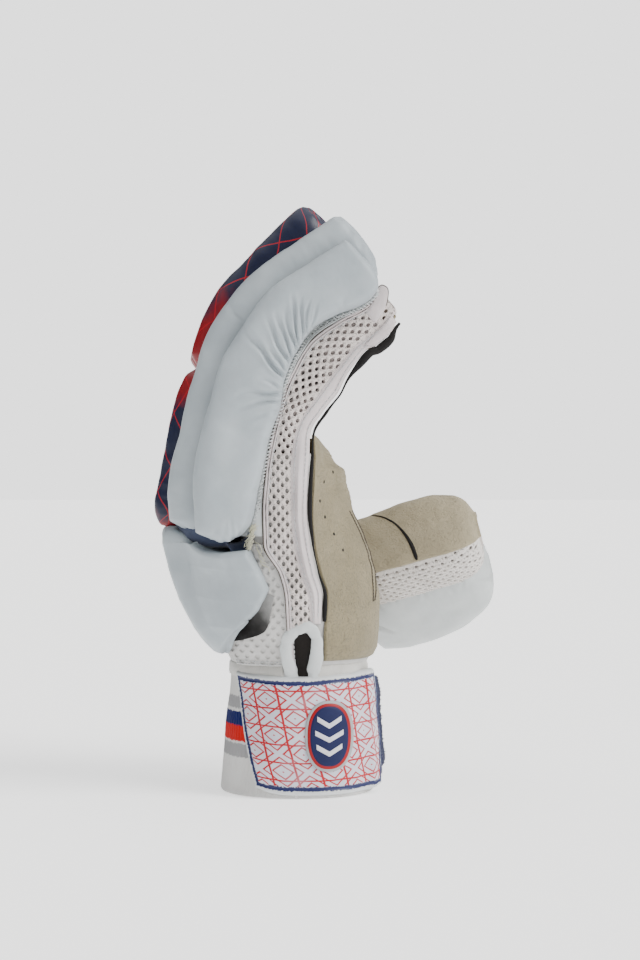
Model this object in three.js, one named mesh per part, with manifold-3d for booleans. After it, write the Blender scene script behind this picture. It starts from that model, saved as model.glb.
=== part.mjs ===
// Cricket batting glove for the right hand, standing on its cuff.
// Millimetres: X grows towards the palm, Y towards the thumb side, Z up.
import * as THREE from "three";
import Module from "manifold-3d";

const wasm = await Module();
wasm.setup();

// Puts the middle of the bounding box over the origin.
const placeX = -14.31;
const placeY = -4.6;

// Gap between neighbouring pieces and the thickness of the soft walls.
const clearance = 0.4;
const shellWall = 1.6;
const leatherWall = 1.3;
const cuffWall = 2.2;
const strapWall = 2;
const trimWall = 1.5;
const bindingWall = 2;
const badgeWall = 1.1;
const webWall = 2.4;
const softRoughness = 0.8;

// Level at which the hand shell ends and the finger stalls begin.
const handTop = 165;
const stallBottom = 165.4;
const handBottom = 62.4;

// Points around a wide tube, a finger tube and a padded roll.
const wideCount = 28;
const fingerCount = 16;
const rollCount = 14;

// Reach of the long cutting blocks, well past the glove on every side, and the
// extra length of a cutting body past the ends of the body that it cuts.
const farReach = 150;
const overrun = 2;
const lineOverrun = 30;

// Wrist tube from the floor up: level, middle and half sizes.
const cuffRows = [
  { z: 0, midX: -1.3, halfX: 38, halfY: 37, power: 0.9 },
  { z: 12, midX: -1.2, halfX: 37.2, halfY: 36.4, power: 0.9 },
  { z: 30, midX: -1.3, halfX: 35.6, halfY: 35, power: 0.9 },
  { z: 48, midX: -0.8, halfX: 33.8, halfY: 33.8, power: 0.9 },
  { z: 62, midX: -0.8, halfX: 32.8, halfY: 33, power: 0.88 },
];

// Hand tube: back and palm edge, swell of the palm and half width across the hand.
const handRows = [
  { z: handBottom, back: -33.6, palm: 31.5, swell: 1.5, halfY: 33.2, power: 0.85 },
  { z: 70, back: -37.6, palm: 31, swell: 6, halfY: 37, power: 0.8 },
  { z: 80, back: -38, palm: 25, swell: 13, halfY: 41, power: 0.7 },
  { z: 95, back: -36, palm: 15, swell: 23, halfY: 45, power: 0.58 },
  { z: 111, back: -33, palm: 11.5, swell: 24, halfY: 46.5, power: 0.52 },
  { z: 125, back: -28.5, palm: 9.5, swell: 22, halfY: 47, power: 0.5 },
  { z: 137, back: -25, palm: 8, swell: 18, halfY: 47.3, power: 0.5 },
  { z: 150, back: -23, palm: 7.5, swell: 15.5, halfY: 47.5, power: 0.5 },
  { z: 158, back: -22.4, palm: 7.5, swell: 13, halfY: 47.5, power: 0.5 },
  { z: 163, back: -21.8, palm: 7.2, swell: 6, halfY: 47.5, power: 0.5 },
  { z: handTop, back: -21.4, palm: 7, swell: 0, halfY: 47.5, power: 0.5 },
];
const swellMidY = 3;
const swellReach = 49;
const halvings = 30;

// Finger lines: base, turn of the line at base and tip in degrees, where it bends, length.
const fingers = {
  little: { midY: -36, baseX: -7, baseTurn: 91, tipTurn: 38, bendStart: 24, bendEnd: 106, length: 131 },
  ring: { midY: -12, baseX: -8, baseTurn: 92, tipTurn: 46, bendStart: 26, bendEnd: 112, length: 138 },
  middle: { midY: 12, baseX: -8, baseTurn: 92, tipTurn: 47, bendStart: 27, bendEnd: 114, length: 141 },
  index: { midY: 36, baseX: -8, baseTurn: 92, tipTurn: 45, bendStart: 26, bendEnd: 110, length: 133 },
};
const fingerBaseZ = 125;

// Finger tube along its line: distance back from the tip and share of the full section.
const stallHalfDepth = 14;
const stallHalfWidth = 11.6;
const stallPower = 0.6;
const stallBodyStations = [34, 50, 66, 82, 98];
const tipRows = [
  { fromTip: 18, share: 1 },
  { fromTip: 9, share: 0.95 },
  { fromTip: 4, share: 0.82 },
  { fromTip: 1, share: 0.58 },
  { fromTip: 0, share: 0.3 },
];

// Padded rolls: station along the finger, underside and crown above the line, half width.
const rollHalfWidth = 11.6;
const rollPower = 0.55;
const outerRollRows = [
  { s: 9, low: 26, high: 46, halfWidth: 8.5 },
  { s: 11, low: 15, high: 54, halfWidth: 11 },
  { s: 20, low: 10, high: 55.4, halfWidth: rollHalfWidth },
  { s: 34, low: 10, high: 53.9, halfWidth: rollHalfWidth },
  { s: 46, low: 10, high: 50.4, halfWidth: rollHalfWidth },
  { s: 58, low: 12, high: 50, halfWidth: rollHalfWidth },
  { s: 72, low: 14, high: 52.4, halfWidth: rollHalfWidth },
  { s: 90, low: 14.5, high: 54.4, halfWidth: rollHalfWidth },
  { s: 110, low: 14.5, high: 53.4, halfWidth: rollHalfWidth },
  { s: 126, low: 14.5, high: 51, halfWidth: 11.4 },
  { s: 134, low: 17, high: 48, halfWidth: 10 },
  { s: 137, low: 23, high: 42, halfWidth: 6.5 },
];
const lowerRollRows = [
  { s: 6, low: 27, high: 52, halfWidth: 8 },
  { s: 8, low: 15, high: 60, halfWidth: 11 },
  { s: 16, low: 10, high: 62.4, halfWidth: rollHalfWidth },
  { s: 28, low: 10, high: 60.6, halfWidth: rollHalfWidth },
  { s: 42, low: 10, high: 56.6, halfWidth: rollHalfWidth },
  { s: 56, low: 12, high: 54.2, halfWidth: rollHalfWidth },
  { s: 63, low: 14.5, high: 51.5, halfWidth: 11.2 },
  { s: 66, low: 19, high: 46, halfWidth: 9.5 },
];
const upperRollRows = [
  { s: 68, low: 19, high: 46, halfWidth: 9.5 },
  { s: 71, low: 14.8, high: 52.5, halfWidth: 11.2 },
  { s: 78, low: 14.5, high: 54.9, halfWidth: rollHalfWidth },
  { s: 92, low: 14.5, high: 56.3, halfWidth: rollHalfWidth },
  { s: 108, low: 14.5, high: 55.4, halfWidth: rollHalfWidth },
  { s: 124, low: 14.5, high: 55.4, halfWidth: rollHalfWidth },
  { s: 134, low: 15.5, high: 54, halfWidth: 11.2 },
  { s: 140, low: 20, high: 50, halfWidth: 8.5 },
  { s: 142, low: 28, high: 45, halfWidth: 5 },
];

// Long side pads: station, lower and upper edge above the finger line, half thickness.
const sidePadFace = 48.1;
const sidePadHalf = 6.9;
const sidePadPower = 0.6;
const sidePadRows = [
  { s: 0, low: 22, high: 30, half: 3 },
  { s: 3, low: 17.5, high: 38, half: 5.5 },
  { s: 10, low: 14.2, high: 42, half: sidePadHalf },
  { s: 22, low: 11.5, high: 42, half: sidePadHalf },
  { s: 40, low: 7.8, high: 40.5, half: sidePadHalf },
  { s: 55, low: 7, high: 38, half: 6.4 },
  { s: 70, low: 10.4, high: 39.5, half: 6 },
  { s: 84, low: 14, high: 40, half: 6.4 },
  { s: 98, low: 15.6, high: 41.4, half: sidePadHalf },
  { s: 110, low: 13, high: 39.6, half: sidePadHalf },
  { s: 122, low: 10.6, high: 36.6, half: 6.6 },
  { s: 129, low: 12.6, high: 34.4, half: 5.6 },
  { s: 133, low: 20, high: 31, half: 3 },
];

// Thumb: start of its line, direction, the way its leather faces, tube and pad sections.
const thumbStart = new THREE.Vector3(10, 30, 102.1);
const thumbLine = new THREE.Vector3(0.949, -0.142, 0.279).normalize();
const thumbFaceTurn = 41;
const thumbPower = 0.6;
const thumbRows = [
  { u: 0, halfWide: 17, halfDeep: 14 },
  { u: 16, halfWide: 18.5, halfDeep: 14.5 },
  { u: 32, halfWide: 20, halfDeep: 15.5 },
  { u: 50, halfWide: 20.5, halfDeep: 15.5 },
  { u: 66, halfWide: 20.5, halfDeep: 15 },
  { u: 76, halfWide: 18.5, halfDeep: 13.5 },
  { u: 82, halfWide: 14.5, halfDeep: 10.5 },
  { u: 85, halfWide: 8, halfDeep: 6 },
];
const thumbLeatherReach = THREE.MathUtils.degToRad(66);
const thumbLeatherColumns = 11;
const thumbPadFace = 15.9;
const thumbPadRows = [
  { u: 14, halfWide: 13, thick: 18, face: 24 },
  { u: 18, halfWide: 18, thick: 31, face: 17 },
  { u: 32, halfWide: 20, thick: 34, face: thumbPadFace },
  { u: 48, halfWide: 20.5, thick: 34.5, face: thumbPadFace },
  { u: 62, halfWide: 20.5, thick: 32.5, face: thumbPadFace },
  { u: 73, halfWide: 19, thick: 29, face: 14.4 },
  { u: 80, halfWide: 16, thick: 23, face: 15 },
  { u: 83.5, halfWide: 9.5, thick: 13, face: 19 },
];

// Back block: level, outermost point on the back, half width across the hand.
const blockFront = 6;
const blockRows = [
  { z: 66, back: -38.5, halfY: 38 },
  { z: 72, back: -44.5, halfY: 44 },
  { z: 81, back: -51.5, halfY: 49 },
  { z: 95, back: -58.7, halfY: 53 },
  { z: 110, back: -63.7, halfY: 55 },
  { z: 122, back: -66.8, halfY: 55 },
  { z: 131, back: -67.4, halfY: 52 },
];
const blockPower = 0.62;
const blockOutline = [
  [-90, 66.4], [-38, 66.4], [-37, 71.3], [-30.6, 77.8], [-19, 90.8], [-13.9, 100.6],
  [-19, 111], [-24.1, 119.8], [-38, 118.4], [-54, 121], [-68, 131], [-90, 131],
];

// Outlines seen from the little-finger side, as X and Z.
const hingeOutline = [[-80, 121.2], [-12, 121.2], [-12, 130.8], [-24, 128.4], [-80, 128.4]];
const palmOutline = [
  [12.8, 66], [13.9, 93], [10.9, 109], [7.5, 125], [6.4, 145], [6.4, 164.2], [90, 164.2], [90, 66],
];
const slitOutline = [[-3.4, 58], [-3.6, 71.5], [-0.8, 77.2], [2.6, 78.7], [5, 76], [5.4, 71], [3.4, 58]];
const bindingOutline = [
  [-8.4, 62.9], [-7.9, 75.8], [-4.2, 81.8], [1, 84.2], [6, 84.2], [11, 81], [11.4, 67], [10.6, 62.9],
];
const cuffSlitHalf = 2.6;

// Leathers on the palm side of the fingers: start, reach round the finger, columns.
const leatherStart = 42;
const leatherReach = THREE.MathUtils.degToRad(38);
const leatherColumns = 9;

// Trim and black edge line: level and X of the black line on the hand, widths,
// then the stations along the little finger and the line's height on it.
const edgeRows = [
  { z: 86.5, x: 12.2 },
  { z: 95, x: 11.6 },
  { z: 109, x: 8.8 },
  { z: 125, x: 5.6 },
  { z: 145, x: 4.1 },
  { z: 158, x: 3.4 },
];
const trimWidth = 8;
const pipingWidth = 1.3;
const edgeStations = [48, 60, 74, 90, 106, 120];
const edgeOnFinger = 10.4;
const edgeColumns = 4;
const edgeLimit = 0.99;

// Strap and patch: turn round the wrist in degrees, how far it leans forward at the
// top, lower and upper edge, and lift off the cuff. The badge lies on the strap.
const strapRows = [
  { turn: 243, lean: -31, low: 5.2, high: 60, lift: 0 },
  { turn: 252, lean: -19, low: 3.2, high: 59.2, lift: 0 },
  { turn: 264, lean: -6, low: 2, high: 58.4, lift: 0 },
  { turn: 276, lean: 0, low: 1.8, high: 58.2, lift: 0 },
  { turn: 298, lean: 0, low: 1.8, high: 59, lift: 0 },
  { turn: 318, lean: 0, low: 2, high: 59.4, lift: 0 },
  { turn: 328, lean: 0, low: 2.2, high: 59.8, lift: 0.2 },
  { turn: 336, lean: 0, low: 2.4, high: 60.2, lift: 2 },
  { turn: 347, lean: 0, low: 2.8, high: 60.2, lift: 2.2 },
  { turn: 356, lean: 0, low: 3.4, high: 60.2, lift: 2.4 },
];
const patchRows = [
  { turn: 338, lean: 0, low: 30, high: 57, lift: 0 },
  { turn: 350, lean: 0, low: 31, high: 57, lift: 0 },
  { turn: 359, lean: 0, low: 32, high: 57, lift: 1 },
  { turn: 366, lean: 0, low: 34, high: 56.6, lift: 4.5 },
];
const patchWall = 1.4;
const bandStep = 7;
const strapLevels = 5;
const patchLevels = 4;
const badgeMid = { x: 14.4, z: 30 };
const badgeHalf = { x: 11.7, z: 16.8 };
const badgePoints = 20;
const badgePower = 0.85;

function solidFromFaces(points, faces) {
  let volume = 0;
  for (const [first, second, third] of faces) {
    const [ax, ay, az] = points[first];
    const [bx, by, bz] = points[second];
    const [cx, cy, cz] = points[third];
    volume += ax * (by * cz - bz * cy) + ay * (bz * cx - bx * cz) + az * (bx * cy - by * cx);
  }
  const turned = volume < 0 ? faces.map(([first, second, third]) => [first, third, second]) : faces;
  const mesh = new wasm.Mesh({
    numProp: 3,
    vertProperties: new Float32Array(points.flat()),
    triVerts: new Uint32Array(turned.flat()),
  });
  return new wasm.Manifold(mesh);
}

function middleOf(ring) {
  const sum = [0, 0, 0];
  for (const point of ring) {
    sum[0] += point[0] / ring.length;
    sum[1] += point[1] / ring.length;
    sum[2] += point[2] / ring.length;
  }
  return sum;
}

// Closed body through a row of rings, with a flat fan at each end.
function solidFromRings(rings) {
  const count = rings[0].length;
  const points = rings.flat();
  const faces = [];
  for (let row = 0; row + 1 < rings.length; row += 1) {
    const low = row * count;
    const high = low + count;
    for (let index = 0; index < count; index += 1) {
      const next = (index + 1) % count;
      faces.push([low + index, low + next, high + next]);
      faces.push([low + index, high + next, high + index]);
    }
  }
  const lastRow = (rings.length - 1) * count;
  const startMiddle = points.length;
  points.push(middleOf(rings[0]));
  const endMiddle = points.length;
  points.push(middleOf(rings[rings.length - 1]));
  for (let index = 0; index < count; index += 1) {
    const next = (index + 1) % count;
    faces.push([next, index, startMiddle]);
    faces.push([lastRow + index, lastRow + next, endMiddle]);
  }
  return solidFromFaces(points, faces);
}

// Sheet with thickness between two equal grids of points.
function solidFromSheet(inner, outer) {
  const rows = inner.length;
  const columns = inner[0].length;
  const points = [...inner.flat(), ...outer.flat()];
  const faces = [];
  const at = (side, row, column) => (side * rows + row) * columns + column;
  const quad = (first, second, third, fourth) => {
    faces.push([first, second, third]);
    faces.push([first, third, fourth]);
  };
  for (let row = 0; row + 1 < rows; row += 1) {
    for (let column = 0; column + 1 < columns; column += 1) {
      quad(at(1, row, column), at(1, row, column + 1), at(1, row + 1, column + 1), at(1, row + 1, column));
      quad(at(0, row, column), at(0, row + 1, column), at(0, row + 1, column + 1), at(0, row, column + 1));
    }
  }
  const endRow = rows - 1;
  const endColumn = columns - 1;
  for (let column = 0; column < endColumn; column += 1) {
    quad(at(0, 0, column), at(0, 0, column + 1), at(1, 0, column + 1), at(1, 0, column));
    quad(at(1, endRow, column), at(1, endRow, column + 1), at(0, endRow, column + 1), at(0, endRow, column));
  }
  for (let row = 0; row < endRow; row += 1) {
    quad(at(1, row, 0), at(1, row + 1, 0), at(0, row + 1, 0), at(0, row, 0));
    quad(at(1, row + 1, endColumn), at(1, row, endColumn), at(0, row, endColumn), at(0, row + 1, endColumn));
  }
  return solidFromFaces(points, faces);
}

// Upright prism of an outline in X and Z, between two Y values.
function prism(outline, fromY, toY) {
  const contour = outline.map(([x, z]) => new THREE.Vector2(x, z));
  if (THREE.ShapeUtils.isClockWise(contour)) {
    contour.reverse();
  }
  const count = contour.length;
  const points = [];
  for (const y of [fromY, toY]) {
    for (const { x, y: z } of contour) {
      points.push([x, y, z]);
    }
  }
  const faces = [];
  for (const [first, second, third] of THREE.ShapeUtils.triangulateShape(contour, [])) {
    const clockwise = THREE.ShapeUtils.isClockWise([contour[first], contour[second], contour[third]]);
    const turned = clockwise ? [first, third, second] : [first, second, third];
    faces.push(turned);
    faces.push([turned[0] + count, turned[2] + count, turned[1] + count]);
  }
  for (let index = 0; index < count; index += 1) {
    const next = (index + 1) % count;
    faces.push([next, index, index + count]);
    faces.push([next, index + count, next + count]);
  }
  return solidFromFaces(points, faces);
}

function box(fromX, toX, fromY, toY, fromZ, toZ) {
  return prism([[fromX, fromZ], [toX, fromZ], [toX, toZ], [fromX, toZ]], fromY, toY);
}

// The biggest connected body of a cut, without crumbs.
function mainBody(solid) {
  const bodies = solid.decompose();
  let best = bodies[0];
  for (const body of bodies) {
    if (body.volume() > best.volume()) {
      best = body;
    }
  }
  return best;
}

// Rounded-box shape of a section: power 1 is an ellipse, less is squarer.
function rounded(turn, power) {
  const along = Math.cos(turn);
  const across = Math.sin(turn);
  return [
    Math.sign(along) * Math.abs(along) ** power,
    Math.sign(across) * Math.abs(across) ** power,
  ];
}

function mix(start, end, share) {
  return start + (end - start) * share;
}

// Row of a table at a level between its rows.
function rowAt(rows, key, value) {
  let index = 0;
  while (index + 2 < rows.length && rows[index + 1][key] < value) {
    index += 1;
  }
  const low = rows[index];
  const high = rows[index + 1];
  const share = (value - low[key]) / (high[key] - low[key]);
  const result = {};
  for (const name of Object.keys(low)) {
    result[name] = mix(low[name], high[name], share);
  }
  return result;
}

function cuffPoint(row, turn, grow) {
  const [along, across] = rounded(turn, row.power);
  return [row.midX + (row.halfX + grow) * along, (row.halfY + grow) * across, row.z];
}

function handPoint(row, turn, grow) {
  const [along, across] = rounded(turn, row.power);
  const midX = (row.back + row.palm) / 2;
  const halfX = (row.palm - row.back) / 2;
  const reach = Math.min(1, Math.abs(row.halfY * across - swellMidY) / swellReach);
  const swell = row.swell * Math.cos((reach * Math.PI) / 2) ** 2 * Math.max(0, along);
  return [midX + (halfX + grow) * along + swell, (row.halfY + grow) * across, row.z];
}

// Tube through the rows of a table, its ends moved out by extra.
function tube(rows, pointAt, grow, extra) {
  const rings = rows.map((row, index) => {
    let shift = 0;
    if (index === 0) {
      shift = -extra;
    }
    if (index === rows.length - 1) {
      shift = extra;
    }
    const ring = [];
    for (let step = 0; step < wideCount; step += 1) {
      const [x, y, z] = pointAt(row, (step / wideCount) * 2 * Math.PI, grow);
      ring.push([x, y, z + shift]);
    }
    return ring;
  });
  return solidFromRings(rings);
}

const handSolid = (grow, extra) => tube(handRows, handPoint, grow, extra);
const cuffSolid = (grow, extra) => tube(cuffRows, cuffPoint, grow, extra);

// Line of a finger, walked in one-millimetre steps from its base.
function fingerLine(finger) {
  const stations = [];
  let x = finger.baseX;
  let z = fingerBaseZ;
  for (let s = 0; s <= finger.length + lineOverrun; s += 1) {
    const share = Math.min(1, Math.max(0, (s - finger.bendStart) / (finger.bendEnd - finger.bendStart)));
    const smooth = share * share * (3 - 2 * share);
    const turn = THREE.MathUtils.degToRad(mix(finger.baseTurn, finger.tipTurn, smooth));
    stations.push({ x, z, turn });
    x += Math.cos(turn);
    z += Math.sin(turn);
  }
  return stations;
}

// Point at station s of a finger, raised by dorsal and set sideways to y.
function fingerPoint(line, s, dorsal, y) {
  const index = Math.min(line.length - 2, Math.floor(s));
  const share = s - index;
  const turn = mix(line[index].turn, line[index + 1].turn, share);
  const x = mix(line[index].x, line[index + 1].x, share);
  const z = mix(line[index].z, line[index + 1].z, share);
  return [x - Math.sin(turn) * dorsal, y, z + Math.cos(turn) * dorsal];
}

function stallRows(finger) {
  const rows = stallBodyStations.map((s) => ({ s, share: 1 }));
  for (const { fromTip, share } of tipRows) {
    rows.push({ s: finger.length - fromTip, share });
  }
  return rows;
}

function stallPoint(finger, line, row, turn, grow) {
  const [along, across] = rounded(turn, stallPower);
  const dorsal = (stallHalfDepth * row.share + grow) * along;
  const sideways = (stallHalfWidth * row.share + grow) * across;
  return fingerPoint(line, row.s, dorsal, finger.midY + sideways);
}

function stallSolid(finger, line, grow) {
  const rows = stallRows(finger);
  const rings = rows.map((row, index) => {
    const moved = { ...row };
    if (index >= rows.length - 2) {
      moved.s += grow;
    }
    const ring = [];
    for (let step = 0; step < fingerCount; step += 1) {
      ring.push(stallPoint(finger, line, moved, (step / fingerCount) * 2 * Math.PI, grow));
    }
    return ring;
  });
  return solidFromRings(rings);
}

// Padded body along a finger, its section given as middle and half sizes.
function paddedSolid(line, rows, power) {
  const rings = rows.map((row) => {
    const ring = [];
    for (let step = 0; step < rollCount; step += 1) {
      const [along, across] = rounded(((step + 0.5) / rollCount) * 2 * Math.PI, power);
      const dorsal = row.mid + row.halfDepth * along;
      ring.push(fingerPoint(line, row.s, dorsal, row.y + row.halfWidth * across));
    }
    return ring;
  });
  return solidFromRings(rings);
}

function rollSolid(finger, line, rows) {
  const sections = rows.map((row) => ({
    s: row.s,
    mid: (row.low + row.high) / 2,
    halfDepth: (row.high - row.low) / 2,
    y: finger.midY,
    halfWidth: row.halfWidth,
  }));
  return paddedSolid(line, sections, rollPower);
}

function sidePadSolid(line, side) {
  const sections = sidePadRows.map((row) => ({
    s: row.s,
    mid: (row.low + row.high) / 2,
    halfDepth: (row.high - row.low) / 2,
    y: side * (sidePadFace + row.half),
    halfWidth: row.half,
  }));
  return paddedSolid(line, sections, sidePadPower);
}

// Leather on the palm side of a finger.
function fingerLeather(finger, line) {
  const rows = [{ s: leatherStart, share: 1 }, ...stallRows(finger).slice(1, -1)];
  const grids = [clearance, clearance + leatherWall].map((grow) => rows.map((row) => {
    const points = [];
    for (let column = 0; column < leatherColumns; column += 1) {
      const share = column / (leatherColumns - 1);
      const turn = Math.PI + mix(-leatherReach, leatherReach, share);
      points.push(stallPoint(finger, line, row, turn, grow));
    }
    return points;
  }));
  const sheet = solidFromSheet(grids[0], grids[1]);
  return sheet.subtract(box(-farReach, farReach, -farReach, farReach, 0, stallBottom + clearance));
}

// Thumb frame: along the thumb, across its leather, and out of its leather.
const faceTurn = THREE.MathUtils.degToRad(thumbFaceTurn);
const thumbOut = new THREE.Vector3(0, -Math.cos(faceTurn), Math.sin(faceTurn));
thumbOut.addScaledVector(thumbLine, -thumbOut.dot(thumbLine)).normalize();
const thumbAcross = new THREE.Vector3().crossVectors(thumbOut, thumbLine).normalize();

function thumbPoint(u, across, out) {
  const point = thumbStart.clone();
  point.addScaledVector(thumbLine, u);
  point.addScaledVector(thumbAcross, across);
  point.addScaledVector(thumbOut, out);
  return [point.x, point.y, point.z];
}

function thumbTube(grow, extra) {
  const rings = thumbRows.map((row, index) => {
    let u = row.u;
    if (index === 0) {
      u -= extra;
    }
    if (index === thumbRows.length - 1) {
      u += grow;
    }
    const ring = [];
    for (let step = 0; step < fingerCount; step += 1) {
      const [along, across] = rounded((step / fingerCount) * 2 * Math.PI, thumbPower);
      ring.push(thumbPoint(u, (row.halfWide + grow) * across, (row.halfDeep + grow) * along));
    }
    return ring;
  });
  return solidFromRings(rings);
}

function thumbPadSolid() {
  const rings = thumbPadRows.map((row) => {
    const ring = [];
    for (let step = 0; step < rollCount; step += 1) {
      const [along, across] = rounded(((step + 0.5) / rollCount) * 2 * Math.PI, rollPower);
      const out = -row.face - row.thick / 2 + (row.thick / 2) * along;
      ring.push(thumbPoint(row.u, row.halfWide * across, out));
    }
    return ring;
  });
  return solidFromRings(rings);
}

// Leather over the outer face of the thumb.
function thumbLeatherSolid() {
  const rows = thumbRows.slice(1, -1);
  const grids = [clearance, clearance + leatherWall].map((grow) => rows.map((row) => {
    const points = [];
    for (let column = 0; column < thumbLeatherColumns; column += 1) {
      const share = column / (thumbLeatherColumns - 1);
      const turn = mix(-thumbLeatherReach, thumbLeatherReach, share);
      const [along, across] = rounded(turn, thumbPower);
      points.push(thumbPoint(row.u, (row.halfWide + grow) * across, (row.halfDeep + grow) * along));
    }
    return points;
  }));
  return solidFromSheet(grids[0], grids[1]);
}

// Padded block on the back of the hand.
function blockSolid() {
  const rings = blockRows.map((row) => {
    const midX = (row.back + blockFront) / 2;
    const halfX = (blockFront - row.back) / 2;
    const ring = [];
    for (let step = 0; step < wideCount; step += 1) {
      const [along, across] = rounded((step / wideCount) * 2 * Math.PI, blockPower);
      ring.push([midX + halfX * along, row.halfY * across, row.z]);
    }
    return ring;
  });
  return solidFromRings(rings).intersect(prism(blockOutline, -farReach, farReach));
}

// Turn of the hand section whose point on the little-finger side lies at x.
function handTurnAt(row, x) {
  let low = -Math.PI / 2;
  let high = 0;
  for (let step = 0; step < halvings; step += 1) {
    const middle = (low + high) / 2;
    if (handPoint(row, middle, 0)[0] < x) {
      low = middle;
    } else {
      high = middle;
    }
  }
  return low;
}

// Strip on the little-finger side, on the hand below and on the little finger above.
function edgeStrip(line, fromEdge, toEdge, thickness) {
  const columns = edgeColumns;
  const grids = [clearance, clearance + thickness].map((grow) => {
    const rows = edgeRows.map(({ z, x }) => {
      const row = rowAt(handRows, "z", z);
      const points = [];
      for (let column = 0; column < columns; column += 1) {
        const place = x - mix(fromEdge, toEdge, column / (columns - 1));
        points.push(handPoint(row, handTurnAt(row, place), grow));
      }
      return points;
    });
    for (const s of edgeStations) {
      const points = [];
      for (let column = 0; column < columns; column += 1) {
        const depth = edgeOnFinger - mix(fromEdge, toEdge, column / (columns - 1));
        const share = Math.max(-edgeLimit, Math.min(edgeLimit, depth / stallHalfDepth));
        const turn = -Math.acos(-Math.sign(share) * Math.abs(share) ** (1 / stallPower));
        points.push(stallPoint(fingers.little, line, { s, share: 1 }, turn, grow));
      }
      rows.push(points);
    }
    return rows;
  });
  return solidFromSheet(grids[0], grids[1]);
}

// Band round the wrist from a table of turns, lying on the cuff.
function wristBand(rows, wall, levels) {
  const start = rows[0].turn;
  const end = rows[rows.length - 1].turn;
  const steps = Math.ceil((end - start) / bandStep);
  const grids = [clearance, clearance + wall].map((grow) => {
    const columns = [];
    for (let step = 0; step <= steps; step += 1) {
      const row = rowAt(rows, "turn", mix(start, end, step / steps));
      const points = [];
      for (let level = 0; level < levels; level += 1) {
        const share = level / (levels - 1);
        const z = mix(row.low, row.high, share);
        const turn = THREE.MathUtils.degToRad(row.turn + row.lean * share);
        points.push(cuffPoint(rowAt(cuffRows, "z", z), turn, grow + row.lift));
      }
      columns.push(points);
    }
    return columns;
  });
  return solidFromSheet(grids[0], grids[1]);
}

function ovalOutline() {
  const outline = [];
  for (let step = 0; step < badgePoints; step += 1) {
    const [along, across] = rounded((step / badgePoints) * 2 * Math.PI, badgePower);
    outline.push([badgeMid.x + badgeHalf.x * along, badgeMid.z + badgeHalf.z * across]);
  }
  return outline;
}

// Part of the skin lying on a tube, between two distances from it.
function skin(makeSolid, near, far, extra) {
  return makeSolid(far, extra).subtract(makeSolid(near, extra + overrun));
}

const colours = {
  white: 0xe9e9ea,
  navy: 0x1d2140,
  red: 0xb3232f,
  leather: 0xd9c9b1,
  mesh: 0xd8d0cf,
  cuff: 0x9a9ca4,
  black: 0x1a1a1c,
  badge: 0xa7abb3,
};

const group = new THREE.Group();
group.name = "cricket_batting_glove";

function addPiece(name, solid, colour) {
  const body = mainBody(solid).translate([placeX, placeY, 0]);
  const data = body.getMesh();
  const geometry = new THREE.BufferGeometry();
  geometry.setAttribute("position", new THREE.BufferAttribute(new Float32Array(data.vertProperties), 3));
  geometry.setIndex(new THREE.BufferAttribute(new Uint32Array(data.triVerts), 1));
  geometry.computeVertexNormals();
  const material = new THREE.MeshStandardMaterial({ color: colour, roughness: softRoughness });
  const mesh = new THREE.Mesh(geometry, material);
  mesh.name = name;
  group.add(mesh);
}

const lines = {};
for (const [name, finger] of Object.entries(fingers)) {
  lines[name] = fingerLine(finger);
}

const handOuter = handSolid(0, 0);
const handKeepOut = handSolid(clearance, clearance);
const palmKeepOut = handSolid(clearance * 2 + leatherWall, clearance);
const thumbKeepOut = thumbTube(clearance, 0);

// Wrist.
const cuffSlit = box(-cuffSlitHalf, cuffSlitHalf, -farReach, 0, -overrun, farReach);
const cuffTube = cuffSolid(0, 0).subtract(cuffSolid(-cuffWall, overrun));
addPiece("cuff_band", cuffTube.subtract(cuffSlit), colours.cuff);
addPiece("wrist_strap", wristBand(strapRows, strapWall, strapLevels), colours.white);
addPiece("strap_hook_patch", wristBand(patchRows, patchWall, patchLevels), colours.navy);
const badgeNear = clearance * 2 + strapWall;
const badgeSkin = skin(cuffSolid, badgeNear, badgeNear + badgeWall, 0);
addPiece("strap_badge", badgeSkin.intersect(prism(ovalOutline(), -farReach, 0)), colours.badge);

// Hand.
const handHollow = handSolid(-shellWall, overrun);
const slitCut = prism(slitOutline, -farReach, 0);
const thumbHollow = thumbTube(-shellWall, 0);
const handShell = handOuter.subtract(handHollow).subtract(slitCut).subtract(thumbHollow);
addPiece("hand_shell", handShell, colours.mesh);
const bindingArch = prism(bindingOutline, -farReach, 0).subtract(slitCut);
const bindingSkin = skin(handSolid, clearance, clearance + bindingWall, 0);
addPiece("slit_binding", bindingSkin.intersect(bindingArch), colours.white);
const palmSkin = skin(handSolid, clearance, clearance + leatherWall, 0);
const palmPart = palmSkin.intersect(prism(palmOutline, -farReach, farReach)).subtract(thumbKeepOut);
addPiece("palm_leather", palmPart, colours.leather);
addPiece("back_block", blockSolid().subtract(handKeepOut), colours.white);
const webSkin = skin(handSolid, clearance, clearance + webWall, 0);
addPiece("knuckle_hinge", webSkin.intersect(prism(hingeOutline, -farReach, farReach)), colours.navy);

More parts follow.
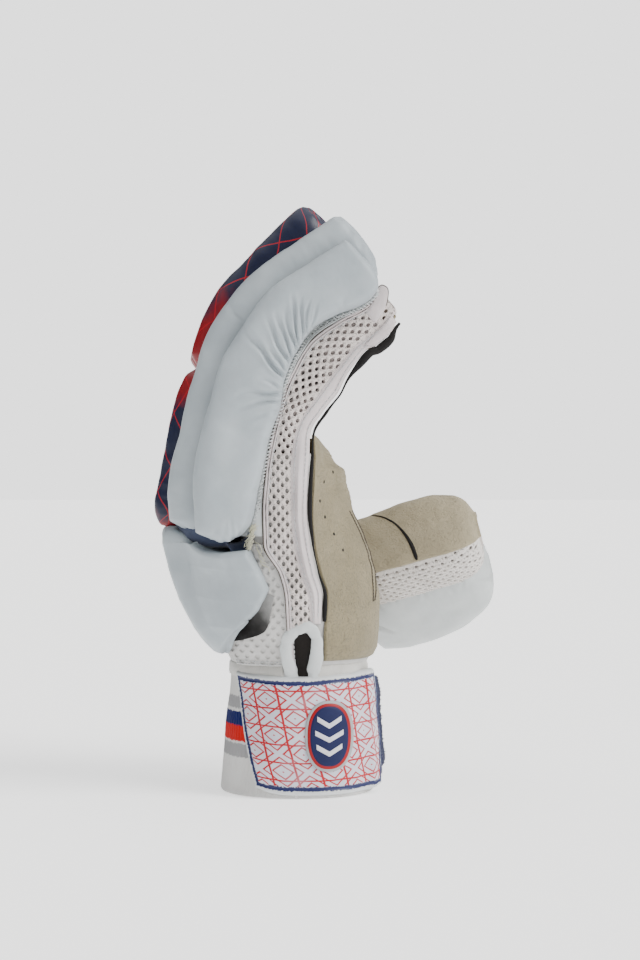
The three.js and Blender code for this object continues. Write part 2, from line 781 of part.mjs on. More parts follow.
// Fingers.
for (const [name, finger] of Object.entries(fingers)) {
  const line = lines[name];
  const below = box(-farReach, farReach, -farReach, farReach, 0, stallBottom);
  const stall = stallSolid(finger, line, 0).subtract(stallSolid(finger, line, -shellWall)).subtract(below);
  addPiece(`${name}_stall`, stall, colours.mesh);
  addPiece(`${name}_leather`, fingerLeather(finger, line), colours.leather);
}
const rolls = [
  { name: "little_roll", finger: "little", rows: outerRollRows, colour: colours.white },
  { name: "ring_roll_lower", finger: "ring", rows: lowerRollRows, colour: colours.navy },
  { name: "ring_roll_upper", finger: "ring", rows: upperRollRows, colour: colours.navy },
  { name: "middle_roll_lower", finger: "middle", rows: lowerRollRows, colour: colours.navy },
  { name: "middle_roll_upper", finger: "middle", rows: upperRollRows, colour: colours.navy },
  { name: "index_roll", finger: "index", rows: outerRollRows, colour: colours.white },
];
for (const roll of rolls) {
  const finger = fingers[roll.finger];
  const line = lines[roll.finger];
  const body = rollSolid(finger, line, roll.rows);
  addPiece(roll.name, body.subtract(handKeepOut).subtract(stallSolid(finger, line, clearance)), roll.colour);
}
addPiece("little_side_pad", sidePadSolid(lines.little, -1), colours.white);
addPiece("index_side_pad", sidePadSolid(lines.index, 1), colours.white);

// Trim along the little-finger side.
const littleKeepOut = stallSolid(fingers.little, lines.little, clearance / 2);
const trimStart = pipingWidth + clearance;
const trim = edgeStrip(lines.little, trimStart, trimStart + trimWidth, trimWall);
const slimKeepOut = handSolid(clearance / 2, 0);
addPiece("side_trim", trim.subtract(littleKeepOut).subtract(slimKeepOut), colours.white);
const piping = edgeStrip(lines.little, 0, pipingWidth, trimWall);
addPiece("palm_piping", piping.subtract(littleKeepOut).subtract(slimKeepOut), colours.black);

// Thumb.
const thumbShell = thumbTube(0, 0).subtract(thumbHollow).subtract(palmKeepOut);
addPiece("thumb_stall", thumbShell, colours.mesh);
addPiece("thumb_leather", thumbLeatherSolid().subtract(palmKeepOut), colours.leather);
addPiece("thumb_pad", thumbPadSolid().subtract(palmKeepOut).subtract(thumbKeepOut), colours.white);

export default group;
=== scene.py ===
# Cricket batting glove, right hand, standing on its cuff.
import math
import bmesh
import bpy
import numpy as np
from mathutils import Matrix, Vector
from mathutils.bvhtree import BVHTree


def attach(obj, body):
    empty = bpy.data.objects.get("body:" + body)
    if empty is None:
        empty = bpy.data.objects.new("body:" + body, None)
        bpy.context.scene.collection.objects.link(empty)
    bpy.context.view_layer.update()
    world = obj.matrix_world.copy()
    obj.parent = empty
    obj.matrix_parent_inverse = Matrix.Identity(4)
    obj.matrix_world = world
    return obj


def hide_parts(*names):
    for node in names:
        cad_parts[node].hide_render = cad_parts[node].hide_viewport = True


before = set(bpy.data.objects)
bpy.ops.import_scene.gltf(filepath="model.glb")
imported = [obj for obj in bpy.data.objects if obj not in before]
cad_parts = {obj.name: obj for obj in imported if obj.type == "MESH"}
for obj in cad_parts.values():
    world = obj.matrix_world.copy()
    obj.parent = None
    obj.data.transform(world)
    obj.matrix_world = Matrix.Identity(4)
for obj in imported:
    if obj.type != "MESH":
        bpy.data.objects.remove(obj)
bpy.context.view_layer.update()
bpy.ops.object.select_all(action="DESELECT")
scene = bpy.context.scene
rng = np.random.default_rng(11)

# millimetres, before the shift that centres the glove: x to the palm, y to the thumb side
place = {"x": -14.31, "y": -4.6}

studio = {
    "behind": 2.15, "front": 0.22, "left": 0.02, "above": 1.8, "floorColour": (0.93, 0.93, 0.927),
    "floorGlow": 0.78, "floorRadius": 14.0, "sunPower": 3.5, "sunFrom": (1.55, -0.72, 1.1), "sunAngle": 34,
    "sunColour": (1.0, 0.99, 0.975), "eye": (9.9, -950.0, 152.3), "lens": 71.8, "sensor": 36.0, "reach": 60.0,
    "frame": (640, 960),
}
waves = {"count": 7, "stretch": (0.7, 1.4), "phase": 6.28, "level": 2.6}
thread = {"wobble": 0.06, "sink": 0.12, "shape": [0.7, 1.0, 1.05, 1.0, 0.7], "sides": 6}
outOfSide = [0.0, -1.0, 0.0]


# helpers for shapes: all in millimetres until a mesh is made
def mix(start, end, share):
    return start + (end - start) * share


def smoothStep(value):
    value = np.clip(value, 0.0, 1.0)
    return value * value * (3.0 - 2.0 * value)


def bump(value, middle, width):
    return np.exp(-(((value - middle) / width) ** 2))


def curve(stations, values, at):
    xs, ys = np.asarray(stations, float), np.asarray(values, float)
    step = np.diff(xs)
    slope = np.diff(ys) / step
    tangent = np.zeros_like(ys)
    inner = slope[:-1] * slope[1:]
    total = slope[:-1] + slope[1:]
    tangent[1:-1] = np.where(inner > 0, 2 * inner / np.where(total == 0, 1, total), 0)
    tangent[0], tangent[-1] = slope[0], slope[-1]
    at = np.clip(at, xs[0], xs[-1])
    i = np.clip(np.searchsorted(xs, at) - 1, 0, len(step) - 1)
    t = (at - xs[i]) / step[i]
    return (
        (2 * t**3 - 3 * t**2 + 1) * ys[i]
        + (t**3 - 2 * t**2 + t) * step[i] * tangent[i]
        + (3 * t**2 - 2 * t**3) * ys[i + 1]
        + (t**3 - t**2) * step[i] * tangent[i + 1]
    )


def rounded(turn, power):
    along, across = np.cos(turn), np.sin(turn)
    return np.sign(along) * np.abs(along) ** power, np.sign(across) * np.abs(across) ** power


def spots(*parts):
    return np.stack(np.broadcast_arrays(*(np.asarray(part, float) for part in parts)), -1)


def evenNoise(points, size, seed, octaves=3):
    # smooth noise of the place, summed waves with fixed random directions
    source = np.random.default_rng(seed)
    total = np.zeros(points.shape[:-1])
    strength, scale, norm = 1.0, size, 0.0
    for _ in range(octaves):
        for _ in range(waves["count"]):
            direction = source.normal(size=3)
            direction /= np.linalg.norm(direction)
            pace = 2 * math.pi / (scale * source.uniform(*waves["stretch"]))
            total += strength * np.sin(points @ direction * pace + source.uniform(0, waves["phase"]))
        norm += strength * waves["level"]
        strength *= 0.5
        scale *= 0.5
    return total / norm


def gridNormals(grid, around):
    if around:
        across = np.roll(grid, -1, 1) - np.roll(grid, 1, 1)
    else:
        across = np.gradient(grid, axis=1)
    along = np.gradient(grid, axis=0)
    normal = np.cross(across, along)
    return normal / np.maximum(np.linalg.norm(normal, axis=-1, keepdims=True), 1e-9)


def toScene(points):
    points = np.asarray(points, float)
    return (points + np.array([place["x"], place["y"], 0.0])) / 1000.0


def editMesh(mesh, change):
    work = bmesh.new()
    work.from_mesh(mesh)
    change(work)
    work.to_mesh(mesh)
    work.free()


def meshPiece(name, points, faces, uvs, fixNormals=True):
    mesh = bpy.data.meshes.new(name)
    mesh.from_pydata(toScene(points).tolist(), [], [list(face) for face in faces])
    layer = mesh.uv_layers.new(name="flat")
    layer.data.foreach_set("uv", np.asarray(uvs, np.float32).reshape(-1) / 1000.0)
    piece = bpy.data.objects.new(name, mesh)
    scene.collection.objects.link(piece)
    if fixNormals:
        editMesh(mesh, lambda work: bmesh.ops.recalc_face_normals(work, faces=work.faces))
    mesh.shade_smooth()
    mesh.update()
    return piece


def gridFaces(rows, cols, around, offset=0):
    r = np.arange(rows - 1)[:, None]
    c = np.arange(cols if around else cols - 1)[None, :]
    a = offset + r * cols + c
    b = offset + r * cols + (c + 1) % cols
    return np.stack([a, b, b + cols, a + cols], -1).reshape(-1, 4)


def lengthsAcross(grid):
    # flat length from the first column, row by row
    steps = np.linalg.norm(np.diff(grid, axis=1), axis=2)
    return np.concatenate([np.zeros((grid.shape[0], 1)), np.cumsum(steps, 1)], 1)


def lengthsAlong(grid):
    return lengthsAcross(grid.transpose(1, 0, 2)).T


def gridUv(grid, around):
    closed = np.concatenate([grid, grid[:, :1]], 1) if around else grid
    u, v = lengthsAcross(closed), lengthsAlong(closed)
    u = u - u.mean(1, keepdims=True)
    v = np.repeat(v.mean(1, keepdims=True), v.shape[1], 1)
    return np.stack([u, v], -1)


def cornerUv(uv):
    return np.stack([uv[:-1, :-1], uv[:-1, 1:], uv[1:, 1:], uv[1:, :-1]], 2).reshape(-1, 4, 2)


def tubeParts(grid, start, fans):
    # rings joined to a tube with a fan at each end
    rows, cols = grid.shape[:2]
    points = np.concatenate([grid.reshape(-1, 3), grid[0].mean(0)[None], grid[-1].mean(0)[None]])
    faces = [tuple(face) for face in gridFaces(rows, cols, True, start)]
    uv = gridUv(grid, True)
    flat = [tuple(point) for corner in cornerUv(uv) for point in corner]
    first, top = start + rows * cols, start + (rows - 1) * cols
    ends = tuple(uv[0].mean(0)), tuple(uv[-1].mean(0))
    for c in range(cols):
        n = (c + 1) % cols
        faces += [(start + n, start + c, first), (top + c, top + n, first + 1)]
        if fans:
            flat += [tuple(uv[0, c + 1]), tuple(uv[0, c]), ends[0]]
            flat += [tuple(uv[-1, c]), tuple(uv[-1, c + 1]), ends[1]]
        else:
            flat += [(0, 0)] * 6
    return points, faces, flat


def joinGrids(name, grids, fans=False):
    # closed tubes in one piece
    points, faces, flat, start = [], [], [], 0
    for grid in grids:
        morePoints, moreFaces, moreFlat = tubeParts(grid, start, fans)
        points.append(morePoints)
        faces += moreFaces
        flat += moreFlat
        start += len(morePoints)
    return meshPiece(name, np.concatenate(points), faces, flat)


def closedPiece(name, grid):
    return joinGrids(name, [grid], fans=True)


def sheetPiece(name, outer, inner, around=False, uv=None):
    # two layers and a rim; columns run round when around is true
    rows, cols = outer.shape[:2]
    points = np.concatenate([outer.reshape(-1, 3), inner.reshape(-1, 3)])
    top = gridFaces(rows, cols, around)
    under = gridFaces(rows, cols, around, rows * cols)[:, ::-1]
    if uv is None:
        uv = gridUv(outer, around)
    corners = cornerUv(uv)
    faces = [tuple(face) for face in top] + [tuple(face) for face in under]
    flat = [tuple(p) for c in corners for p in c] + [tuple(p) for c in corners for p in c[::-1]]
    shift = rows * cols
    rim = []
    count = cols if around else cols - 1
    for c in range(count):
        n = (c + 1) % cols
        rim.append((n, c, c + shift, n + shift, uv[0, c + 1], uv[0, c]))
        low = (rows - 1) * cols
        rim.append((low + c, low + n, low + n + shift, low + c + shift, uv[-1, c], uv[-1, c + 1]))
    if not around:
        for r in range(rows - 1):
            low, high = r * cols, (r + 1) * cols
            rim.append((low, high, high + shift, low + shift, uv[r, 0], uv[r + 1, 0]))
            low, high = low + cols - 1, high + cols - 1
            rim.append((high, low, low + shift, high + shift, uv[r + 1, -1], uv[r, -1]))
    for a, b, c, d, uvA, uvB in rim:
        faces.append((a, b, c, d))
        flat += [tuple(uvA), tuple(uvB), tuple(uvB), tuple(uvA)]
    return meshPiece(name, points, faces, flat)


def tubeGrid(path, radius, sides=8, flat=1.0, up=None):
    path = np.asarray(path, float)
    tangent = np.gradient(path, axis=0)
    tangent /= np.maximum(np.linalg.norm(tangent, axis=1, keepdims=True), 1e-9)
    if up is None:
        # any side way to start with, carried on without a twist
        side = np.cross(tangent[0], [0.3, -1.0, 0.2])
        carried = []
        for t in tangent:
            side = side - t * np.dot(side, t)
            side /= np.linalg.norm(side)
            carried.append(side.copy())
        side = np.array(carried)
        rise = np.cross(tangent, side)
    else:
        rise = np.broadcast_to(np.asarray(up, float), path.shape)
        rise = rise - tangent * (rise * tangent).sum(1, keepdims=True)
        rise /= np.linalg.norm(rise, axis=1, keepdims=True)
        side = np.cross(tangent, rise)
    radius = np.broadcast_to(np.asarray(radius, float), (len(path),))[:, None, None]
    turn = (np.arange(sides) / sides * 2 * math.pi)[None, :, None]
    return path[:, None] + radius * (np.cos(turn) * side[:, None] + flat * np.sin(turn) * rise[:, None])


def pathLength(path):
    return np.concatenate([[0], np.cumsum(np.linalg.norm(np.diff(path, axis=0), axis=1))])


def pointAt(path, run, at):
    return np.stack([np.interp(at, run, path[:, k]) for k in range(3)], -1)


def smoothPath(points, count):
    points = np.asarray(points, float)
    run = pathLength(points)
    at = np.linspace(0, run[-1], count)
    return np.stack([curve(run, points[:, k], at) for k in range(points.shape[1])], 1)


def stitchGrids(path, outward, spacing, length, radius, slant=0.0, lift=0.2, wander=0.0):
    # one short thread for each stitch, pressed into the surface at its ends
    outward = np.broadcast_to(np.asarray(outward, float), path.shape)
    run = pathLength(path)
    grids = []
    for at in np.arange(spacing * 0.5, run[-1], spacing):
        point, out = pointAt(path, run, at), pointAt(outward, run, at)
        tangent = pointAt(path, run, min(at + 0.5, run[-1])) - pointAt(path, run, max(at - 0.5, 0))
        tangent /= np.linalg.norm(tangent)
        side = np.cross(tangent, out)
        side /= np.linalg.norm(side)
        turn = slant + rng.normal() * thread["wobble"]
        heading = tangent * math.cos(turn) + side * math.sin(turn)
        point = point + side * rng.normal() * wander
        share = np.linspace(-0.5, 0.5, len(thread["shape"]))
        height = lift * (1 - (2 * np.abs(share)) ** 2.5) - thread["sink"]
        line = point + heading * (share * length)[:, None] + out * height[:, None]
        grids.append(tubeGrid(line, radius * np.array(thread["shape"]), thread["sides"]))
    return grids


def finish(piece, material, slot, *nodes, pad=None):
    piece.data.materials.clear()
    piece.data.materials.append(material)
    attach(piece, "root")
    if nodes:
        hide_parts(*nodes)
    return piece


# helpers for materials
def newMaterial(name, roughness=0.6, specular=0.5):
    material = bpy.data.materials.new(name)
    material.use_nodes = True
    tree = material.node_tree
    tree.nodes.clear()
    output = tree.nodes.new("ShaderNodeOutputMaterial")
    shader = tree.nodes.new("ShaderNodeBsdfPrincipled")
    shader.inputs["Roughness"].default_value = roughness
    shader.inputs["Specular IOR Level"].default_value = specular
    tree.links.new(shader.outputs[0], output.inputs["Surface"])
    return material, tree, shader


def feed(tree, socket, value):
    if isinstance(value, bpy.types.NodeSocket):
        tree.links.new(value, socket)
    elif isinstance(value, tuple) and len(value) == 3 and socket.type == "RGBA":
        socket.default_value = (*value, 1.0)
    else:
        socket.default_value = value


def node(tree, kind, *values, **fields):
    made = tree.nodes.new("ShaderNode" + kind)
    for key, value in fields.items():
        if hasattr(made, key):
            setattr(made, key, value)
        else:
            feed(tree, made.inputs[key.replace("_", " ").title()], value)
    for index, value in enumerate(values):
        if value is not None:
            feed(tree, made.inputs[index], value)
    return made


def calc(tree, operation, first, second=0.0):
    return node(tree, "Math", first, second, operation=operation).outputs[0]


def times(tree, first, second):
    return calc(tree, "MULTIPLY", first, second)


def plus(tree, first, second):
    return calc(tree, "ADD", first, second)


def paint(tree, shader, colour):
    tree.links.new(colour, shader.inputs["Base Color"])


def coordinates(tree, kind="Object"):
    return node(tree, "TexCoord").outputs[kind]


def flatUv(tree):
    return node(tree, "UVMap", uv_map="flat").outputs[0]


def noise(tree, vector, scale, detail=3.0, roughness=0.55):
    made = node(tree, "TexNoise", Vector=vector)
    feed(tree, made.inputs["Scale"], scale)
    feed(tree, made.inputs["Detail"], detail)
    feed(tree, made.inputs["Roughness"], roughness)
    return made.outputs[0]


def cells(tree, vector, scale, feature="F1"):
    made = node(tree, "TexVoronoi", feature=feature)
    feed(tree, made.inputs["Vector"], vector)
    feed(tree, made.inputs["Scale"], scale)
    return made.outputs["Distance"]


def ramp(tree, value, stops):
    made = node(tree, "ValToRGB", value)
    elements = made.color_ramp.elements
    while len(elements) < len(stops):
        elements.new(0.5)
    for element, (position, colour) in zip(elements, stops):
        element.position = position
        element.color = (*colour, 1.0) if isinstance(colour, tuple) else (colour, colour, colour, 1.0)
    return made.outputs[0]


def mixColours(tree, share, first, second, blend="MIX"):
    made = tree.nodes.new("ShaderNodeMix")
    made.data_type = "RGBA"
    made.blend_type = blend
    feed(tree, made.inputs[0], share)
    feed(tree, made.inputs[6], first)
    feed(tree, made.inputs[7], second)
    return made.outputs[2]


def mapped(tree, value, low, high, toLow=0.0, toHigh=1.0):
    made = node(tree, "MapRange", value)
    for key, number in zip(("From Min", "From Max", "To Min", "To Max"), (low, high, toLow, toHigh)):
        made.inputs[key].default_value = number
    return made.outputs[0]


def bumped(tree, shader, layers):
    # each layer: height, strength, depth in millimetres
    normal = None
    for height, strength, depth in layers:
        made = tree.nodes.new("ShaderNodeBump")
        feed(tree, made.inputs["Height"], height)
        made.inputs["Strength"].default_value = strength
        made.inputs["Distance"].default_value = depth / 1000.0
        if normal is not None:
            tree.links.new(normal, made.inputs["Normal"])
        normal = made.outputs[0]
    tree.links.new(normal, shader.inputs["Normal"])


def sheen(shader, weight, roughness=0.5, tint=(1.0, 1.0, 1.0)):
    shader.inputs["Sheen Weight"].default_value = weight
    shader.inputs["Sheen Roughness"].default_value = roughness
    shader.inputs["Sheen Tint"].default_value = (*tint, 1.0)


def softLeather(name, light, dark, roughness=0.45, grain=0.18):
    # smooth coated leather: faint cloudy tint, fine pores, shallow creases
    material, tree, shader = newMaterial(name, roughness, 0.4)
    where = coordinates(tree)
    cloud = noise(tree, where, 38.0, 3.0)
    smudge = noise(tree, where, 140.0, 4.0)
    shade = plus(tree, times(tree, cloud, 0.75), times(tree, smudge, 0.25))
    colour = mixColours(tree, mapped(tree, shade, 0.36, 0.64), light, dark)
    paint(tree, shader, colour)
    tree.links.new(
        mapped(tree, smudge, 0.3, 0.7, roughness - 0.06, roughness + 0.08), shader.inputs["Roughness"],
    )
    pores = cells(tree, where, 1500.0)
    creases = noise(tree, where, 320.0, 5.0, 0.6)
    swell = noise(tree, where, 70.0, 2.0)
    bumped(tree, shader, [(swell, 0.25, 0.8), (creases, grain, 0.25), (pores, grain * 0.8, 0.08)])
    return material


def rawLeather(name, light, dark, speckAmount=0.5):
    # matt palm leather: felt-like nap, fine grain and dark specks, denser towards the bottom
    material, tree, shader = newMaterial(name, 0.88, 0.25)
    where = coordinates(tree)
    cloud = noise(tree, where, 45.0, 4.0)
    fleck = noise(tree, where, 900.0, 3.0, 0.7)
    grain = cells(tree, where, 1100.0)
    level = node(tree, "SeparateXYZ", where).outputs[2]
    speckByHeight = mapped(tree, plus(tree, level, times(tree, cloud, 0.05)), 0.165, 0.12, 0.15, 1.0)
    speck = mapped(tree, noise(tree, where, 900.0, 3.0, 0.75), 0.5, 0.66)
    shade = plus(tree, times(tree, cloud, 0.7), times(tree, fleck, 0.3))
    colour = mixColours(tree, mapped(tree, shade, 0.35, 0.65), light, dark)
    deep = tuple(0.5 * c for c in dark)
    colour = mixColours(tree, times(tree, times(tree, speck, speckByHeight), speckAmount), colour, deep)
    paint(tree, shader, colour)
    sheen(shader, 0.2, 0.6, (1.0, 0.97, 0.9))
    bumped(
        tree, shader,
        [
            (noise(tree, where, 120.0, 3.0), 0.3, 0.7), (grain, 0.45, 0.22), (speck, 0.6, 0.3),
            (fleck, 0.5, 0.18),
        ],
    )
    return material


def wovenCloth(name, light, dark, threadScale=1.0, shine=0.2):
    # tight knit: two crossed waves make the stitches
    material, tree, shader = newMaterial(name, 0.85, 0.25)
    where = coordinates(tree)
    uv = flatUv(tree)
    split = node(tree, "SeparateXYZ", uv)
    rows = calc(tree, "SINE", times(tree, split.outputs[0], 9000.0 * threadScale))
    lines = calc(tree, "SINE", times(tree, split.outputs[1], 9000.0 * threadScale))
    weave = times(tree, rows, lines)
    fuzz = noise(tree, where, 1200.0, 2.0, 0.7)
    cloud = noise(tree, where, 60.0, 3.0)
    colour = mixColours(tree, mapped(tree, cloud, 0.35, 0.65), light, dark)
    paint(tree, shader, colour)
    sheen(shader, shine, 0.6)
    bumped(
        tree, shader,
        [(noise(tree, where, 150.0, 3.0), 0.25, 0.6), (weave, 0.35, 0.12), (fuzz, 0.35, 0.12)],
    )
    return material


def dotted(tree, uv, pitchAcross, pitchAlong, radius, soft):
    # staggered round holes, 1 inside a hole
    split = node(tree, "SeparateXYZ", uv)
    found = []
    for shift in (0.0, 0.5):
        parts = []
        for output, pitch in ((0, pitchAcross), (1, pitchAlong)):
            turned = plus(tree, calc(tree, "DIVIDE", split.outputs[output], pitch / 1000.0), shift + 100.0)
            offset = calc(tree, "SUBTRACT", calc(tree, "FRACT", turned), 0.5)
            parts.append(times(tree, offset, pitch))
        square = plus(tree, calc(tree, "POWER", parts[0], 2.0), calc(tree, "POWER", parts[1], 2.0))
        found.append(calc(tree, "SQRT", square))
    nearest = calc(tree, "MINIMUM", found[0], found[1])
    return mapped(tree, nearest, radius + soft, radius - soft)


def holedCloth(name, light, dark, deep, pitchAcross, pitchAlong, radius):
    # warp-knit mesh where the holes are only painted and pressed; the hole colour is painted shade, the dark
    # inside of each hole
    material, tree, shader = newMaterial(name, 0.85, 0.25)
    where = coordinates(tree)
    uv = flatUv(tree)
    holes = dotted(tree, uv, pitchAcross, pitchAlong, radius, radius * 0.35)
    cloud = noise(tree, where, 60.0, 3.0)
    colour = mixColours(tree, mapped(tree, cloud, 0.35, 0.65), light, dark)
    colour = mixColours(tree, holes, colour, deep)
    paint(tree, shader, colour)
    sheen(shader, 0.2, 0.6)
    height = calc(tree, "SUBTRACT", 1.0, holes)
    bumped(tree, shader, [(height, 0.9, 0.6), (noise(tree, where, 1100.0, 2.0), 0.3, 0.1)])
    return material


def attribute(tree, name):
    return node(tree, "Attribute", attribute_name=name).outputs["Fac"]


def setValues(piece, name, values):
    made = piece.data.attributes.new(name, "FLOAT", "POINT")
    values = np.asarray(values, np.float32).reshape(-1)
    full = np.zeros(len(piece.data.vertices), np.float32)
    full[:min(len(values), len(full))] = values[:len(full)]
    made.data.foreach_set("value", full)


print("materials")
# painted shade and light: one white leather in two copies, a darker bluer shaded one for the side pads, rolls
# and block, and a lighter lit one for the thumb pad
padWhiteShaded = softLeather("padWhiteShaded", (0.385, 0.43, 0.455), (0.312, 0.353, 0.38))
thumbWhiteLit = softLeather("thumbWhiteLit", (0.53, 0.56, 0.555), (0.45, 0.48, 0.478))
bindingWhite = softLeather("bindingWhite", (0.58, 0.61, 0.61), (0.49, 0.52, 0.52), 0.5)
palmBeige = rawLeather("palmBeige", (0.25, 0.212, 0.128), (0.18, 0.151, 0.088))
thumbBeige = rawLeather("thumbBeige", (0.35, 0.30, 0.20), (0.275, 0.235, 0.152), 0.05)
meshPink = wovenCloth("meshPink", (0.67, 0.605, 0.575), (0.58, 0.52, 0.49))
meshGrey = wovenCloth("meshGrey", (0.55, 0.54, 0.525), (0.45, 0.44, 0.425))
netPale = wovenCloth("netPale", (0.72, 0.68, 0.64), (0.64, 0.60, 0.56))
trimPink = wovenCloth("trimPink", (0.62, 0.56, 0.56), (0.52, 0.465, 0.465), 0.8)
# the near-black hole colour is painted shade inside the holes
stallCloth = holedCloth(
    "stallCloth", (0.60, 0.54, 0.53), (0.52, 0.46, 0.45), (0.07, 0.06, 0.06), 3.7, 5.1, 0.75,
)
# painted shade: the pale lining behind the side net made dark brown, as it is seen in shade through the holes
liningShadeBrown = wovenCloth("liningShadeBrown", (0.15, 0.118, 0.095), (0.095, 0.075, 0.06), 0.7, 0.1)
liningPale = wovenCloth("liningPale", (0.50, 0.45, 0.42), (0.42, 0.375, 0.35), 0.7, 0.1)
# painted shade for the inside of the wrist opening
openingShade = wovenCloth("openingShade", (0.010, 0.0075, 0.006), (0.006, 0.0045, 0.004), 0.7, 0.0)
webNavy = wovenCloth("webNavy", (0.034, 0.047, 0.09), (0.02, 0.028, 0.06), 0.7, 0.15)
# black of the piping and thumb seam, also used as painted shade in the palm's air holes
blackEdgeAndHoleShade = wovenCloth("blackEdgeAndHoleShade", (0.004, 0.0035, 0.0035), (0.009, 0.008, 0.008), 0.9, 0.02)
threadCream = wovenCloth("threadCream", (0.52, 0.51, 0.38), (0.42, 0.41, 0.30), 2.0)
threadWhite = wovenCloth("threadWhite", (0.58, 0.60, 0.60), (0.45, 0.47, 0.48), 2.0)
# brown thread of the palm seam, also used for painted shade beside the pad-edge stitches and in the seam
# groove
brownThreadAndShade = wovenCloth("brownThreadAndShade", (0.10, 0.083, 0.065), (0.05, 0.042, 0.034), 2.0, 0.05)
threadNavy = wovenCloth("threadNavy", (0.022, 0.035, 0.17), (0.015, 0.022, 0.10), 2.0)
cuffPile = wovenCloth("cuffPile", (0.56, 0.55, 0.515), (0.46, 0.45, 0.42), 0.6, 0.5)


def blockShadowMaterial():
    # painted shadow: near-black under the block, paling to the grey of the sleeve
    material, tree, shader = newMaterial("blockShadowPaint", 0.9, 0.15)
    where = coordinates(tree)
    shadowFade = plus(
        tree, attribute(tree, "shadowFade"), mapped(tree, noise(tree, where, 260.0, 2.0), 0.3, 0.7, -0.06, 0.06),
    )
    colour = ramp(
        tree, shadowFade,
        [(0.1, (0.006, 0.0055, 0.0055)), (0.5, (0.045, 0.044, 0.043)), (1.0, (0.24, 0.24, 0.235))],
    )
    paint(tree, shader, colour)
    bumped(tree, shader, [(noise(tree, where, 420.0, 3.0), 0.5, 0.4)])
    return material


blockShadowPaint = blockShadowMaterial()


def plainGloss(name, colour, roughness):
    material, tree, shader = newMaterial(name, roughness, 0.3)
    where = coordinates(tree)
    cloud = noise(tree, where, 200.0, 3.0)
    dark = tuple(0.85 * c for c in colour)
    tree.links.new(mixColours(tree, mapped(tree, cloud, 0.3, 0.7), colour, dark), shader.inputs["Base Color"])
    bumped(tree, shader, [(noise(tree, where, 1400.0, 3.0), 0.12, 0.1)])
    return material


badgeSilver = plainGloss("badgeSilver", (0.34, 0.35, 0.36), 0.38)
badgeRed = plainGloss("badgeRed", (0.30, 0.003, 0.006), 0.45)
badgeNavy = plainGloss("badgeNavy", (0.002, 0.006, 0.055), 0.55)
badgeWhite = plainGloss("badgeWhite", (0.66, 0.66, 0.72), 0.4)


def warped(tree, uv, where, scale, amount):
    # flat places moved a little by noise, so printed lines aren't ruler straight
    made = node(tree, "TexNoise", Vector=where)
    feed(tree, made.inputs["Scale"], scale)
    centred = node(
        tree, "VectorMath", made.outputs["Color"], (0.5, 0.5, 0.5), operation="SUBTRACT",
    ).outputs[0]
    moved = node(tree, "VectorMath", centred, (amount, amount, amount), operation="MULTIPLY").outputs[0]
    return node(tree, "VectorMath", uv, moved, operation="ADD").outputs[0]


# plain grid on the split rolls: pitches in millimetres, line as a share of a pitch
rollLook = {
    "across": 17.0, "along": 23.0, "line": (0.026, 0.015),
    "navy": (0.0035, 0.0065, 0.03), "red": (0.20, 0.002, 0.006), "lineRed": (0.36, 0.004, 0.012),
}


def rollPrintMaterial():
    # printed coated leather: navy, turning red where the attribute says, with thin red lines
    material, tree, shader = newMaterial("rollPrint", 0.42, 0.45)
    where = coordinates(tree)
    split = node(tree, "SeparateXYZ", warped(tree, flatUv(tree), where, 60.0, 0.0016))
    across = times(tree, split.outputs[0], 1000.0 / rollLook["across"])
    along = times(tree, split.outputs[1], 1000.0 / rollLook["along"])
    first = calc(tree, "PINGPONG", plus(tree, across, along), 0.5)
    second = calc(tree, "PINGPONG", calc(tree, "SUBTRACT", along, across), 0.5)
    line = mapped(tree, calc(tree, "MINIMUM", first, second), *rollLook["line"])
    cloud = noise(tree, where, 55.0, 3.0)
    redness = plus(tree, attribute(tree, "redness"), mapped(tree, cloud, 0.35, 0.65, -0.22, 0.22))
    base = mixColours(tree, mapped(tree, redness, 0.35, 0.75), rollLook["navy"], rollLook["red"])
    paint(tree, shader, mixColours(tree, line, base, rollLook["lineRed"]))
    swell, creases = noise(tree, where, 75.0, 2.0), noise(tree, where, 330.0, 5.0)
    pores = cells(tree, where, 1500.0)
    bumped(tree, shader, [(swell, 0.25, 0.8), (creases, 0.16, 0.25), (pores, 0.12, 0.08)])
    return material


rollPrint = rollPrintMaterial()


cuffLook = {
    "height": 62.0, "blur": 0.003, "white": (0.64, 0.635, 0.62), "grey": (0.30, 0.30, 0.305),
    "navy": (0.003, 0.008, 0.085), "red": (0.5, 0.005, 0.003),
    # from, to, colour, colour just below, white above
    "stripes": [
        (18.4, 25.0, "grey", "white", True), (26.0, 33.3, "red", "white", False),
        (33.5, 40.2, "navy", "red", True), (41.6, 47.4, "grey", "white", True),
    ],
}


